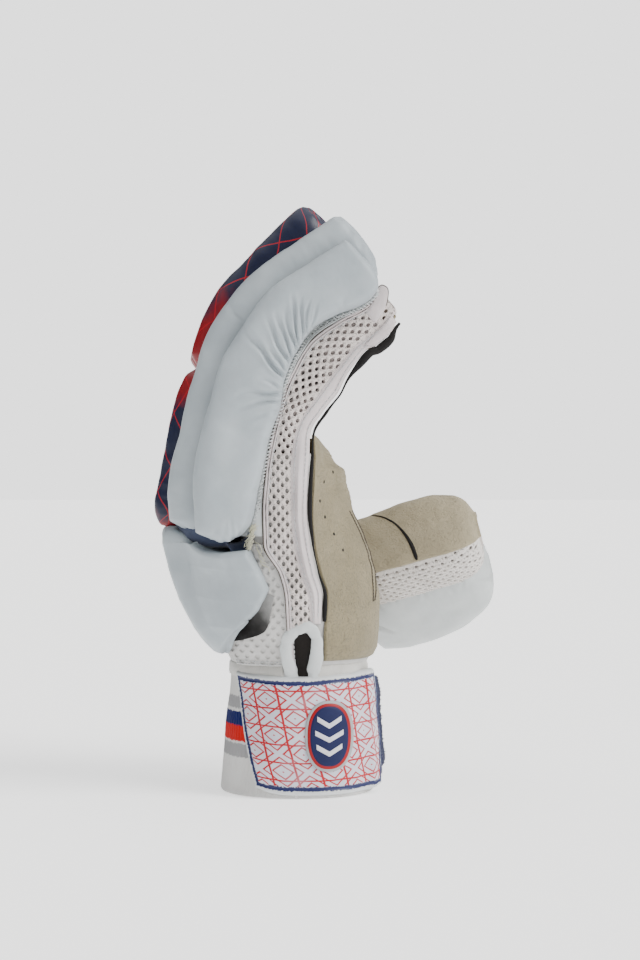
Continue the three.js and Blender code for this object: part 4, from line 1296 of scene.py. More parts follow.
# black edge of the leather under the ribbon; a swelling is station, width, more radius
edgeTubes = {
    "hand": {
        "ends": (-40, 61), "radius": 0.8,
        "swell": [(20, 13, 0.4), (-34, 7, 0.45), (-14, 11, -0.5), (45, 8, -0.35)],
    },
    "tip": {"ends": (61, 127.5), "radius": 0.45, "swell": [(104, 9, 1.5), (117, 7, 1.5), (66, 6, 0.3)]},
}


def swollen(tube, s):
    return tube["radius"] + sum(more * bump(s, station, width) for station, width, more in tube["swell"])


s = np.linspace(*edgeTubes["hand"]["ends"], 130)
thick = swollen(edgeTubes["hand"], s) + 0.1 * np.sin(s / 5)
handTube = tubeGrid(onSide(s, edgeAt("trimEnd", s) - 0.2 - 0.35, 1.5), thick, 8)
s = np.linspace(*edgeTubes["tip"]["ends"], 90)
thick = swollen(edgeTubes["tip"], s)
tipTube = tubeGrid(onSide(s, edgeAt("trimEnd", s) - 0.25 - 0.5 * thick, 0.6), thick, 8)
finish(joinGrids("palmPiping", [handTube, tipTube]), blackEdgeAndHoleShade, "piping", "palm_piping")

# raw pad edge beside the net
flange = {"ends": (1, 129), "columns": 9, "thick": 1.4, "rise": (0.5, 2.6), "grow": (-0.5, 2.2)}
s, d, lift = stripGrid(
    "groove", "padLow", flange["ends"], flange["columns"], 1.4, 0.8,
    lambda t: flange["rise"][0] * np.sin(t * math.pi) ** 0.6 + flange["rise"][1] * t**1.5, flange["grow"],
)
flangeTop = onSide(s, d, lift + 0.2 * evenNoise(spots(s, d, 0), 9, 14, 2))
finish(sheetPiece("padFlange", flangeTop, onSide(s, d, lift - flange["thick"])), bindingWhite, "pad_white")

# narrow pressed ridges beside the groove where the finger bends: shift, lift
ridges = []
s = np.linspace(58, 128, 150)
room = (edgeAt("padLow", s) - 1.5 - edgeAt("groove", s)) / 5.0
for shift, lift in ((1.9, 2.1), (2.9, 2.2), (3.9, 2.35)):
    path = alongEdge("groove", s, shift * np.clip(room, 0.35, 1.0), lift + 0.15 * np.sin(s / 2.3 + shift))
    ridges.append(tubeGrid(path, 0.42, 6))
finish(joinGrids("flangeRidges", ridges), bindingWhite, "pad_white")

# corded seam and its dark line, a thin brown tube in the groove painted as the groove's shade
s = np.linspace(-60, 129, 260)
cords = [tubeGrid(alongEdge("groove", s, 0, 1.9 + 0.1 * np.sin(s / 3)), 0.55, 7)]
cords.append(tubeGrid(alongEdge("groove", s, -1.3, 2.0), 0.4, 7))
finish(joinGrids("netCord", cords), trimPink, "trim")
s = np.linspace(-58, 129, 260)
darkSeam = tubeGrid(alongEdge("groove", s, 0.75, 1.75), 0.2 + 0.18 * smoothStep((s + 25) / 20), 6)
finish(joinGrids("netSeam", [darkSeam]), brownThreadAndShade, "trim")
print("side cloth")


# back block
blockShape = {
    "levels": 110, "columns": 260, "bottom": 66.8, "rise": 58, "palmEnd": 6, "power": 0.52, "radius": 3.4,
    "ringZ": [66, 72, 81, 95, 110, 122, 131],
    "back": [-38.5, -44.5, -51.5, -58.7, -63.7, -66.8, -67.4],
    "halfY": [38, 44, 49, 53, 55, 55, 52],
    "frontZ": [66.5, 71.3, 77.8, 90.8, 100.6, 111, 119, 131],
    "frontX": [-38, -37, -30.6, -19, -13.9, -19, -24.1, -34],
    "topX": [-70, -68, -60, -54, -46, -38, -24, -13],
    "topZ": [131, 130.6, 125, 121.4, 119, 118, 119.6, 119.6],
    "channels": (-19, 19), "channelDepth": 1.6, "smoothings": 14, "smoothBelow": 112,
    # folds at the front edge: level, slant, length
    "folds": [(93.5, 0.12, 9), (109, -0.3, 7)],
}
# painted shadow under the block, a dark sheet on the sleeve: x and z of its upper and lower edge
blockShadowShape = {
    "upper": [(-37.5, 76.5), (-30.0, 84.5), (-22.0, 92.5), (-16.5, 99.5)],
    "lower": [(-33.0, 74.6), (-25.0, 76.6), (-15.8, 81.0), (-11.6, 97.5)],
    "rows": 60, "columns": 12,
}


def blockRing(z, along):
    back = np.interp(z, blockShape["ringZ"], blockShape["back"])
    return (back + blockShape["palmEnd"]) / 2 + (blockShape["palmEnd"] - back) / 2 * along


def blockSkin():
    shape = blockShape
    outer = np.zeros((shape["levels"], shape["columns"], 3))
    along, across = rounded(np.linspace(-math.pi / 2 + 1.15, -math.pi, 1400), shape["power"])
    for row, level in enumerate(np.linspace(0, 1, shape["levels"])):
        z = np.full(1400, shape["bottom"] + shape["rise"] * level)
        for _ in range(6):
            top = np.interp(blockRing(z, along), shape["topX"], shape["topZ"])
            z = shape["bottom"] + (top - shape["bottom"]) * level
        x, y = blockRing(z, along), np.interp(z, shape["ringZ"], shape["halfY"]) * across
        line = np.stack([x, y, z], 1)[x <= np.interp(z, shape["frontZ"], shape["frontX"])]
        line = np.concatenate([line, (line * [1, -1, 1])[::-1]])
        run = pathLength(line)
        outer[row] = pointAt(line, run, np.linspace(0, run[-1], shape["columns"]))
    return outer


def makeBlock():
    shape = blockShape
    outer = blockSkin()
    x, y, z = np.moveaxis(outer, -1, 0)
    normal = gridNormals(outer, False)
    if (normal[:, :, 0] * (x + 20)).mean() < 0:
        normal = -normal
    # the corner of the front edge must not crease the faces
    smooth = normal.copy()
    for _ in range(shape["smoothings"]):
        smooth[1:-1] = (smooth[:-2] + 2 * smooth[1:-1] + smooth[2:]) / 4
    normal = mix(normal, smooth, smoothStep((shape["smoothBelow"] - z) / 8)[..., None])
    width = lengthsAcross(outer)
    edge = np.minimum(width, width[:, -1:] - width)
    fromTop = z[-1:] - z
    side = np.minimum(np.minimum(edge, z - shape["bottom"]), fromTop)
    inCorner = 1 - np.clip(side / shape["radius"], 0, 1)
    roundOff = shape["radius"] * (1 - np.sqrt(np.clip(1 - inCorner**2, 0, 1)))
    depth = 0.5 * evenNoise(outer, 42, 61, 2) + 0.14 * evenNoise(outer, 12, 62, 3) - roundOff
    # quilted channels between the three fields of the block
    for middle in shape["channels"]:
        depth -= shape["channelDepth"] * bump(y - middle, 1.5 * np.sin(z / 14), 2.0) * (x < -30)
    # lobe beside the hand, softly marked off from the oblique face
    behind = -37.9 + (118.4 - z) * 0.47 - x
    low = smoothStep((z - 72) / 26)
    flank = smoothStep((np.abs(y) - 36) / 8)
    oblique = np.sin(np.clip(behind / 26, 0, 1) * math.pi / 2)
    depth -= 0.8 * bump(behind, 0, 1.8) * flank * low * smoothStep(fromTop / 7)
    depth -= 8 * oblique * flank * (0.3 + 0.7 * smoothStep((z - 68) / 48))
    depth += 1.5 * bump(behind, -10, 8) * flank * low
    for station, slant, length in shape["folds"]:
        depth -= 0.7 * np.clip(1 - edge / length, 0, 1) * bump(z - station, slant * edge, 1.1)
    outer = outer + normal * depth[..., None]
    # inner layer: the point of the hand nearest along the same way
    x, y, z = np.moveaxis(outer, -1, 0)
    flat = handAt(z)
    middle = (flat["back"] + flat["palm"]) / 2
    along = (x - middle) / ((flat["palm"] - flat["back"]) / 2)
    across = y / flat["halfY"]
    power = flat["power"]
    size = (np.abs(along) ** (2 / power) + np.abs(across) ** (2 / power)) ** (power / 2)
    inner = np.stack([middle + (x - middle) / size, y / size, z], -1)
    toward = outer - inner
    standOff = 0.9 + 3.2 * bump(edge, 0, 9) * smoothStep((99 - z) / 8)
    far = np.maximum(np.linalg.norm(toward, axis=-1, keepdims=True), 0.1)
    inner = inner + toward / far * standOff[..., None]
    finish(sheetPiece("backBlock", outer, inner), padWhiteShaded, "pad_white", "back_block", pad=0.8)


def makeBlockShadow():
    # painted shadow: a dark sheet on the sleeve where the lower edge of the block stands off it
    rows, columns = blockShadowShape["rows"], blockShadowShape["columns"]
    upper, lower = (smoothPath(blockShadowShape[key], rows)[:, None] for key in ("upper", "lower"))
    down, over = np.linspace(0, 1, rows)[:, None], np.linspace(0, 1, columns)[None]
    flat = upper + (lower - upper) * over[..., None]
    shadowFade = 0.85 * smoothStep((down - 0.35) / 0.6) + 0.2 * over
    for side, name in ((1, "blockShadowNear"), (-1, "blockShadowFar")):
        y = handSideY(flat[..., 0], flat[..., 1], 1.85)
        face = np.stack([flat[..., 0], side * y, flat[..., 1]], -1)
        piece = sheetPiece(name, face, face + [0, 0.7 * side, 0])
        setValues(piece, "shadowFade", shadowFade)
        finish(piece, blockShadowPaint, "web")


makeBlock()
makeBlockShadow()
print("block")


# navy cloth between the rolls and the block: x and z of its profile
hingeShape = {
    "profile": [(-24, 131.5), (-25.5, 125), (-30, 122.4), (-42, 121.6), (-55, 125.5), (-60, 131.5)],
    "halfY": 50, "rows": 46, "columns": 121, "thick": (0.2, 0, -1.3),
}


def makeHinge():
    half, rows = hingeShape["halfY"], hingeShape["rows"]
    y = np.linspace(-half, half, hingeShape["columns"])
    u = np.linspace(0, 1, rows)
    profile = smoothPath(hingeShape["profile"], rows)
    grid = np.zeros((rows, len(y), 3))
    for k in range(rows):
        sag = 0.7 * np.sin(y / 4.1 + 0.4 * k / 10) + 0.4 * np.sin(y / 2.3)
        x = profile[k, 0] * (1 - 0.14 * (np.abs(y) / half) ** 8 * u[k])
        drop = 5.5 * smoothStep((np.abs(y) - 43) / 7) ** 2 * (1 - 2.1 * smoothStep((u[k] - 0.28) / 0.2))
        z = profile[k, 1] - drop + sag * math.sin(u[k] * math.pi)
        grid[k] = np.stack([x, y * (1.0 - 0.17 * u[k] ** 2.5), z], 1)
    piece = sheetPiece("knuckleHinge", grid, grid + np.array(hingeShape["thick"]))
    finish(piece, webNavy, "web", "knuckle_hinge")


makeHinge()


# hand and finger cloth
shellShape = {"z": (62.6, 165), "rows": 90, "columns": 200, "grow": -0.2, "wall": 1.5}


def makeHandShell():
    z = np.linspace(*shellShape["z"], shellShape["rows"])
    turn = np.linspace(0, 2 * math.pi, shellShape["columns"], endpoint=False)
    rings = onHand(z[:, None], turn[None], shellShape["grow"])
    piece = sheetPiece("handShell", rings, rings - outwardNormals(rings) * shellShape["wall"], around=True)
    finish(piece, meshGrey, "mesh", "hand_shell")


makeHandShell()


def onHandSide(u, v, h):
    # u is x, v is z
    return np.stack([u, handSideY(u, v, 0.9 + h), v], -1)


def sleeveClamp(points):
    z = np.clip(points[:, 1], 63, 122)
    far = np.interp(z, hand["z"], hand["back"]) + 3.5
    near = np.minimum(-7 - edgeAt("groove", z - 125) - 0.3, np.where(z < 80, -6.2, 9.0))
    return np.stack([np.clip(points[:, 0], far, near), z], 1)


finish(wovenHoles("sleeveNet", onHandSide, sleeveClamp), meshGrey, "mesh")

pileShape = {"z": (57.2, 63.6), "rows": 8, "turn": (283.5, 620.5), "columns": 230, "rough": 0.12}


def makePile():
    z = np.linspace(*pileShape["z"], pileShape["rows"])
    turn = np.radians(np.linspace(*pileShape["turn"], pileShape["columns"]))
    grow = 0.9 + 0.5 * np.sin(np.linspace(0, math.pi, pileShape["rows"]))
    rings = onCuff(z[:, None], turn[None], grow[:, None])
    rings = rings + pileShape["rough"] * rng.normal(size=rings.shape)
    inner = rings + (np.array([-1, 0, 60]) - rings) * [0.05, 0.05, 0]
    finish(sheetPiece("wristPile", rings, inner), cuffPile, "cuff_knit")


# closed tips: distances from the end with the share of the full section
tipShape = {
    "steps": np.array([14, 11, 8.5, 6.5, 5, 3.6, 2.4, 1.5, 0.8, 0.3, 0.0]),
    "from": [0, 0.8, 2.4, 5, 8.5, 14, 18], "share": [0.2, 0.5, 0.7, 0.85, 0.94, 0.99, 1.0],
    "leatherSteps": np.array([8.5, 6.5, 5, 3.6, 2.4]),
    "leatherFrom": [0, 2.4, 5, 8.5, 14, 18], "leatherShare": [0.2, 0.7, 0.85, 0.94, 0.99, 1.0],
    "leatherTurn": {
        "little": 38, "ring": 44, "middle": 44, "index": 44,
    }, "columns": 110, "leatherColumns": 50,
}


def palmShrink(s):
    # worn fingertips are flatter on the palm side than the round tube
    reach = np.abs(edgeAt("trimEnd", s)) - 1.4
    return np.clip(reach / 16.0, 0.3, 1.0)[:, None]


def stallRings(name, rows, growD, growY, along, across):
    d = growD * along[None]
    y = fingers[name]["midY"] + growY * across[None]
    return onFinger(name, rows[:, None], np.where(d < 0, d * palmShrink(rows), d), y)


def makeStall(name, length):
    rows = np.concatenate([np.linspace(40.5, length - 18, 60), length - tipShape["steps"]])
    share = np.interp(length - rows, tipShape["from"], tipShape["share"])[:, None]
    along, across = evenRing(tipShape["columns"], stall["power"], stall["wide"], stall["deep"])
    depth = 0.2 * evenNoise(spots(rows[:, None], 14 * along, 11 * across), 16, 71, 2)
    growD, growY = stall["deep"] * share - 0.2 + depth, stall["wide"] * share - 0.2 + depth
    piece = closedPiece(f"{name}Stall", stallRings(name, rows, growD, growY, along, across))
    nodes = [] if name == "little" else [f"{name}_stall"]
    finish(piece, stallCloth, "mesh", *nodes)


def makeFingerLeather(name, length):
    rows = np.concatenate([np.linspace(40.6, length - 10, 80), length - tipShape["leatherSteps"]])
    share = np.interp(length - rows, tipShape["leatherFrom"], tipShape["leatherShare"])[:, None]
    columns = tipShape["leatherColumns"]
    turn = math.pi + np.radians(np.linspace(-44, tipShape["leatherTurn"][name], columns))
    along, across = rounded(turn, stall["power"])
    edges = np.clip(np.minimum(np.arange(columns), np.arange(columns)[::-1]) / 3.0, 0, 1)
    wrinkle = evenNoise(spots(rows[:, None], 3 * along, 12 * across), 13, 72, 3)
    layers = []
    for grow, rough in ((0.5 + 1.3 * np.sqrt(edges), 0.35), (0.3 + 0 * edges, 0.0)):
        growD, growY = (
            stall["deep"] * share + grow[None] + rough * wrinkle, stall["wide"] * share + grow[None]
        )
        layers.append(stallRings(name, rows, growD, growY, along, across))
    finish(sheetPiece(f"{name}Leather", *layers), palmBeige, "palm_leather", f"{name}_leather")


makePile()
for name, finger in fingers.items():
    makeStall(name, finger["length"])
    makeFingerLeather(name, finger["length"])
print("fingers")


# palm leather
palmShape = {
    "z": (65.6, 173.8), "rows": 190, "columns": 190, "farTurn": 1.28,
    # soft folds where the hand closes: level, slant, width, depth
    "folds": [(150, 0.05, 2.2, 0.8), (131, 0.1, 2.6, 0.5), (112, -0.12, 2.4, 0.4)],
    # slope from the ball of the palm to the fingers: level, shift towards the palm
    "ridgeAt": [157, 160, 163, 165, 169, 174], "ridge": [0, -0.8, 1.0, 5.6, 2.6, -0.6],
}


def palmEdgeX(z):
    follow = -7 - edgeAt("trimEnd", z - 125) + 0.5
    return np.where(z < 86, mix(11.4, follow, smoothStep((z - 78) / 8)), follow)


def makePalm():
    bottom, top = palmShape["z"]
    level = np.linspace(bottom, top, palmShape["rows"])
    z = level[:, None]
    held = np.minimum(level, 162)
    start = handTurn(palmEdgeX(held), held)[:, None]
    share = np.linspace(0, 1, palmShape["columns"])
    turn = start + (palmShape["farTurn"] - start) * share[None]
    points = onHand(z, turn, 0.0)
    x, y = points[:, :, 0], points[:, :, 1]
    edge = np.minimum(share * 110, (1 - share) * 110)[None] + 0 * z
    rim = np.minimum(edge, np.minimum(z - bottom, top - z))
    broad, fine = evenNoise(points, 34, 81, 2), evenNoise(points * [1, 1, 0.6], 10, 82, 3)
    lift = 0.5 + 1.0 * np.sqrt(np.clip(rim / 1.1, 0, 1)) + 0.35 * broad + 0.16 * fine
    lift = lift - 1.4 * bump(z, 136, 20) * smoothStep((x - 14) / 8)
    for station, slant, width, strength in palmShape["folds"]:
        lift -= strength * bump(z - station, slant * y, width) * smoothStep((x - 6) / 8)
    outer = onHand(z, turn, lift)
    ridge = np.cos(np.clip(np.abs(y - 3) / 49, 0, 1) * math.pi / 2) ** 2
    outer[:, :, 0] += (
        curve(palmShape["ridgeAt"], palmShape["ridge"], z) * ridge + bump(z, 168, 5) * smoothStep(share * 9)
    )
    away = outer - onHand(z, turn, 0.4)
    thick = np.clip(1.0 / np.maximum(np.linalg.norm(away, axis=-1), 1.0), 0, 1)
    return finish(
        sheetPiece("palmLeather", outer, outer - away * thick[..., None]), palmBeige, "palm_leather",
        "palm_leather",
    )


palmPiece = makePalm()


def seenSurface(*pieces):
    points, faces = [], []
    for piece in pieces:
        start = len(points)
        points += [vertex.co.copy() for vertex in piece.data.vertices]
        faces += [[start + index for index in face.vertices] for face in piece.data.polygons]
    return BVHTree.FromPolygons(points, faces)


def look(surface, pixels, lift=0.0):
    # points of a surface under image places, with the way out of it
    wide, high = studio["frame"]
    focal = studio["lens"] / studio["sensor"] * high
    eye = Vector(toScene(studio["eye"]).tolist())
    found, outs = [], []
    for across, down in pixels:
        ray = np.array([(across - wide / 2) / focal, 1.0, (high / 2 - down) / focal])
        spot, out, _, _ = surface.ray_cast(eye, Vector((ray / np.linalg.norm(ray)).tolist()))
        if spot is None:
            continue
        out = np.array(out)
        out = out if out @ ray < 0 else -out
        found.append(np.array(spot) * 1000 - [place["x"], place["y"], 0] + out * lift)
        outs.append(out)
    return np.array(found), np.array(outs)


# places in the camera's frame, in pixels across and down
frameSpots = {
    "airHoles": [(333, 472), (324, 482), (320, 501), (325, 517), (334, 534), (343, 550)],
    "thumbSeam": [(361, 515.5), (368, 515.2), (378, 516), (392, 521.5), (404, 533), (412, 546), (417, 560)],
    "palmSeam": [(351.5, 511), (360, 527), (368, 546), (373, 566), (375.2, 583), (376, 602)],
}
airHole = {"radius": 0.8, "thick": 0.12}


def discGrid(centre, out, radius, thick):
    side = np.cross(out, [0.1, 0.2, 1.0])
    side /= np.linalg.norm(side)
    up = np.cross(out, side)
    turn = np.linspace(0, 2 * math.pi, 14, endpoint=False)
    circle = np.cos(turn)[:, None] * side + np.sin(turn)[:, None] * up
    return np.stack(
        [centre + out * h + circle * radius * r for h, r in ((-thick, 1.0), (thick * 0.6, 1.0), (thick, 0.8))]
    )


# air holes: flat near-black discs on the leather, painted shade for the inside of each hole
spotsSeen, outs = look(seenSurface(palmPiece), frameSpots["airHoles"])
discs = [discGrid(spot, out, airHole["radius"], airHole["thick"]) for spot, out in zip(spotsSeen, outs)]
finish(joinGrids("palmAirHoles", discs), blackEdgeAndHoleShade, "palm_leather")
print("palm")


# thumb
def onThumbSide(u, a, h=0.0):
    # lower side face of the thumb: a is the height out of the leather side
    wide, deep = thumbSize(u, h)
    along = np.clip(a / deep, -0.985, 0.985)
    b = -wide * (1 - np.abs(along) ** (2 / thumb["power"])) ** (thumb["power"] / 2)
    return onThumbFrame(u, b, a)


def makeThumbLining():
    u = np.concatenate([np.linspace(0, 80, 60), [81.6, 82.8, 83.6, 84.2, 84.7, 85.0]])
    along, across = evenRing(150, thumb["power"], 20, 15)
    wide, deep = thumbSize(np.minimum(u, 85), -1.0)
    rings = onThumbFrame(u[:, None], wide[:, None] * across[None], deep[:, None] * along[None])
    finish(closedPiece("thumbLining", rings), liningPale, "mesh")


thumbLeatherShape = {"turn": (-46, 80), "columns": 110, "end": 85, "inner": 0.3}


def makeThumbLeather():
    shape = thumbLeatherShape
    ringTurn = np.linspace(*(math.radians(angle) for angle in shape["turn"]), 4000)
    along, across = rounded(ringTurn, thumb["power"])
    run = ringLength(along * 15, across * 20)
    ringTurn = np.interp(np.linspace(0, run[-1], shape["columns"]), run, ringTurn)
    u = np.concatenate([np.linspace(6, 80, 120), [81.2, 82.4, 83.5, 84.5, 85.2, 85.8]])[:, None]
    columns = np.linspace(0, 1, shape["columns"])[None]
    held = np.minimum(u, shape["end"])
    rim = np.minimum(columns, 1 - columns) * 60 + 0 * u
    flat = onThumb(held, ringTurn[None], 0.0)
    lift = 0.5 + 1.2 * np.sqrt(np.clip(rim / 1.2, 0, 1))
    lift = lift + 0.5 * evenNoise(flat, 38, 91, 2) + 0.14 * evenNoise(flat, 10, 92, 3)
    # fuller along its upper edge and at the root
    lift = lift + (2.0 * bump(u, 62, 22) + 4.4 * bump(u, 9, 16)) * smoothStep((columns - 0.35) / 0.4)
    # dents of the formed end
    lift = lift - 0.8 * bump(u, 74, 5) * bump(columns, 0.7, 0.14)
    wide, deep = thumbSize(held)
    along, across = rounded(ringTurn[None], thumb["power"])
    outer, inner = (
        onThumbFrame(u, (wide + grow) * across, (deep + grow) * along) for grow in (lift, shape["inner"])
    )
    return finish(sheetPiece("thumbLeather", outer, inner), thumbBeige, "palm_leather", "thumb_leather")


def thumbNetClamp(points):
    u = np.clip(points[:, 0], 8, 84.6)
    deep = thumbSize(u)[1]
    return np.stack([u, np.clip(points[:, 1], -deep * 0.86, deep * 0.9)], 1)


makeThumbLining()
thumbLeather = makeThumbLeather()
net = wovenHoles("thumbNet", lambda u, a, h: onThumbSide(u, a, 0.8 + h), thumbNetClamp)
finish(net, netPale, "mesh", "thumb_stall")

thumbPadShape = {
    "ends": (14, 84.2), "columns": 170, "power": 0.64,
    "u": [14, 18, 32, 48, 62, 73, 78, 80.5, 82.3, 83.5, 84.2],
    "wide": [14.5, 19.4, 21.8, 22.4, 22.4, 21.2, 19.4, 17.5, 15, 12, 8.5],
    "thick": [43, 59, 62.5, 61.5, 57, 47.5, 40.5, 34.5, 28, 21, 14],
    "face": [8, 0.5, -1.8, -2.4, -2.4, -0.2, 3.4, 6.6, 10, 13.8, 17.2],
    # folds at the seam with the leather: station, slant, length, width, depth
    "folds": [
        (24, 0.3, 9, 1.1, 0.9), (34, 0.1, 7, 1.0, 0.5), (50, -0.2, 8, 1.2, 0.6), (62, 0.2, 9, 1.1, 0.7),
        (70, -0.3, 7, 1.0, 0.4),
    ],
}


def makeThumbPad():
    shape = thumbPadShape
    first, last = shape["ends"]
    stations, share = roundedEnds(first, last, 0.5, 3.0, 8)
    stations = np.where(stations > last, last + (stations - last) * 0.15, stations)
    clipped = np.clip(stations, first, last)
    wide, thick, face = (curve(shape["u"], shape[key], clipped) for key in ("wide", "thick", "face"))
    along, across = evenRing(shape["columns"], shape["power"], 19, 16)
    out = -(face + thick / 2)[:, None] + (thick / 2 * share)[:, None] * along[None]
    u = stations[:, None]
    grid = onThumbFrame(u, (wide * share)[:, None] * across[None], out)
    depth = 0.5 * evenNoise(grid, 40, 95, 2) + 0.16 * evenNoise(grid, 12, 96, 3)
    e = np.maximum(-face[:, None] - 9 - out, 0)
    depth = depth + foldLines(u, e, shape["folds"]) - 0.9 * bump(e, 0, 1.5)
    # fold at the palm end where the pad is tucked in
    fold = out + face[:, None] + thick[:, None] * 0.42 + 0.8 * (u - 17)
    depth = depth - 2.2 * bump(fold, 0, 1.6) * smoothStep((31 - u) / 12)
    # the thumb pad takes the lighter, painted-lit copy of the white leather
    finish(closedPiece("thumbPad", pushed(grid, depth)), thumbWhiteLit, "pad_white", "thumb_pad", pad=0.85)


makeThumbPad()
print("thumb")


# cuff, strap and patch
cuffShape = {"z": (0.25, 61.6), "rows": 94, "columns": 520, "ribs": 92, "slit": (0.5, 5.2), "wall": 2.1}


def makeCuff():
    bottom, top = cuffShape["z"]
    columns = cuffShape["columns"]
    z = np.linspace(bottom, top, cuffShape["rows"])[:, None]
    gap = mix(*cuffShape["slit"], smoothStep((z - 30) / 22))
    turn = np.radians(270 + gap + (360 - 2 * gap) * np.linspace(0, 1, columns)[None])
    ribs = 0.1 * np.sin(np.linspace(0, 2 * math.pi * cuffShape["ribs"], columns))
    sag = 0.45 * evenNoise(onCuff(z, turn, 0.0), 50, 101, 2) * smoothStep(z / 12)
    roundOff = 1.0 * (1 - np.sqrt(np.clip(np.minimum(z, top - z) / 1.1, 0, 1)))
    outer = onCuff(z, turn, ribs[None] + sag - roundOff)
    inner = onCuff(z, turn, -cuffShape["wall"] + roundOff)
    finish(sheetPiece("cuffBand", outer, inner), cuffKnit, "cuff_knit", "cuff_band")


strapTable = {
    "turn": [243, 252, 264, 276, 298, 318, 328, 336, 347, 356],
    "lean": [-31, -19, -6, 0, 0, 0, 0, 0, 0, 0],
    "low": [5.2, 3.2, 2, 1.8, 1.8, 2, 2.2, 2.4, 2.8, 3.4],
    "high": [60, 59.2, 58.4, 58.2, 59, 59.4, 59.8, 60.2, 60.2, 60.2],
    "lift": [0, 0, 0, 0, 0, 0, 0.2, 2, 2.2, 2.4],
}
strapShape = {"rows": 330, "columns": 148, "wall": 2.2, "press": (3.2, 0.6, 0.35), "endLines": (1.5, 4.6)}


def onStrap(turn, share, grow):
    row = {key: curve(strapTable["turn"], strapTable[key], turn) for key in strapTable}
    z = row["low"] + (row["high"] - row["low"]) * share
    pointed = 10 * smoothStep((turn - 320) / 36) * np.abs(2 * share - 1.1) ** 1.3
    return onCuff(z, np.radians(turn - pointed + row["lean"] * share), grow + row["lift"])


def makeStrap():
    turn = np.linspace(strapTable["turn"][0], strapTable["turn"][-1], strapShape["rows"])[:, None]
    share = np.linspace(0, 1, strapShape["columns"])[None]
    flat = onStrap(turn, share, 0.5)
    across, along = lengthsAcross(flat), lengthsAlong(flat)
    sides = np.minimum(across, across[:, -1:] - across)
    edge = np.minimum(sides, np.minimum(along * 1.25, along[-1:] - along))
    wave = 0.35 * evenNoise(flat, 45, 111, 2) + 0.12 * evenNoise(flat, 14, 112, 2)
    inset, width, deep = strapShape["press"]
    wall = strapShape["wall"] * np.sqrt(np.clip(edge / 1.2, 0.02, 1))
    outer = onStrap(turn, share, 0.45 + wall + wave - deep * bump(edge, inset, width))
    uv = np.stack([across - across[:, -1:] / 2, along], -1)
    piece = sheetPiece("wristStrap", outer, onStrap(turn, share, 0.4), uv=uv)
    setValues(piece, "edgeDistance", edge)
    finish(piece, strapPrint, "strap", "wrist_strap")
    # two stitch lines at the loose end
    lines = []
    middle = strapShape["columns"] // 2
    for inset in strapShape["endLines"]:
        row = int(np.argmin(np.abs(along[-1, middle] - along[:, middle] - inset)))
        lines.append(tubeGrid(outer[row, 14:-10] + [0.15, -0.1, 0], 0.2, 5))
    finish(joinGrids("strapEndLines", lines), threadNavy, "strap")


# hook patch: turns round the cuff with its lower and upper edge and how far it stands off
patchTable = {
    "edgeTurn": [338, 350, 359, 370], "low": [9, 10, 11, 14], "high": [55.5, 55.5, 55.5, 54.5],
    "liftTurn": [338, 346, 356, 370], "lift": [0, 0.4, 3.2, 5.0], "rows": 90, "columns": 110, "rough": 0.4,
}


def makePatch():
    turn = np.linspace(338, 370, patchTable["rows"])[:, None]
    share = np.linspace(0, 1, patchTable["columns"])[None]
    low, high = (np.interp(turn, patchTable["edgeTurn"], patchTable[key]) for key in ("low", "high"))
    lift = np.interp(turn, patchTable["liftTurn"], patchTable["lift"])
    z = low + (high - low) * share
    rough = patchTable["rough"] * rng.normal(size=z.shape)
    wall = 1.5 * np.sqrt(np.clip(np.minimum(z - low, high - z), 0.05, 1))
    sag = 0.5 * evenNoise(spots(z, turn, 0), 16, 115, 2)
    around = np.radians(turn + 0 * z)
    outer = onCuff(z, around, 0.4 + wall + rough + lift + sag)
    piece = sheetPiece("hookPatch", outer, onCuff(z, around, 0.3 + lift))
    finish(piece, loopNavy, "hook_patch", "strap_hook_patch")


makeCuff()
makeStrap()
makePatch()


# badge: plain oval with stripes of its own
badgeShape = {
    "middle": (14.4, 30.0), "half": (11.7, 16.8), "lift": 2.95, "columns": 90, "power": 0.85,
    # piece, material, underside, top, inset from the rim
    "layers": [
        ("badgeRim", badgeSilver, 0.0, 0.75, 0.0), ("badgeBand", badgeRed, 0.2, 0.95, 1.2),
        ("badgeField", badgeNavy, 0.3, 1.1, 2.5),
    ],
    "stripeRises": (-6.0, 0.6, 7.2), "stripeReach": 7.4, "stripeDrop": 3.6,
    "stripeSection": [(-1.2, 0.9), (-1.2, 1.3), (-0.9, 1.42), (0.9, 1.42), (1.2, 1.3), (1.2, 0.9)],
}


def onBadge(x, z, lift):
    return np.stack([x, cuffSideY(x, z, badgeShape["lift"] + lift), z], -1)


def badgeLayer(name, material, low, high, edgeInset):
    (midX, midZ), (halfX, halfZ) = badgeShape["middle"], badgeShape["half"]
    count = badgeShape["columns"]
    along, across = rounded(np.linspace(0, 2 * math.pi, count, endpoint=False), badgeShape["power"])
    # share of the oval, inset, height
    steps = [(1.0, edgeInset, low - 0.9), (1.0, edgeInset, high - 0.25), (1.0, edgeInset + 0.25, high)]
    steps += [(mix(1.0, 0.04, t), mix(edgeInset, 0, t), high) for t in np.linspace(0.12, 1, 14)]
    rings = []
    for scale, inset, lift in steps:
        x, z = midX + (halfX * scale - inset) * along, midZ + (halfZ * scale - inset) * across
        rings.append(onBadge(x, z, np.full(count, lift)))
    nodes = ["strap_badge"] if name == "badgeRim" else []
    finish(closedPiece(name, np.array(rings)), material, "badge", *nodes)


def badgeStripe(rise):
    midX, midZ = badgeShape["middle"]
    reach = badgeShape["stripeReach"] * math.sqrt(max(0.1, 1 - (rise / 14) ** 2))
    rings = []
    for t in np.linspace(-1, 1, 24):
        x = midX + reach * t * 0.92
        z = midZ + rise - badgeShape["stripeDrop"] * (1 - abs(t)) + 1.2
        section = badgeShape["stripeSection"]
        rings.append([onBadge(np.array(x), np.array(z + dz), np.array(lift)) for dz, lift in section])
    return np.array(rings)


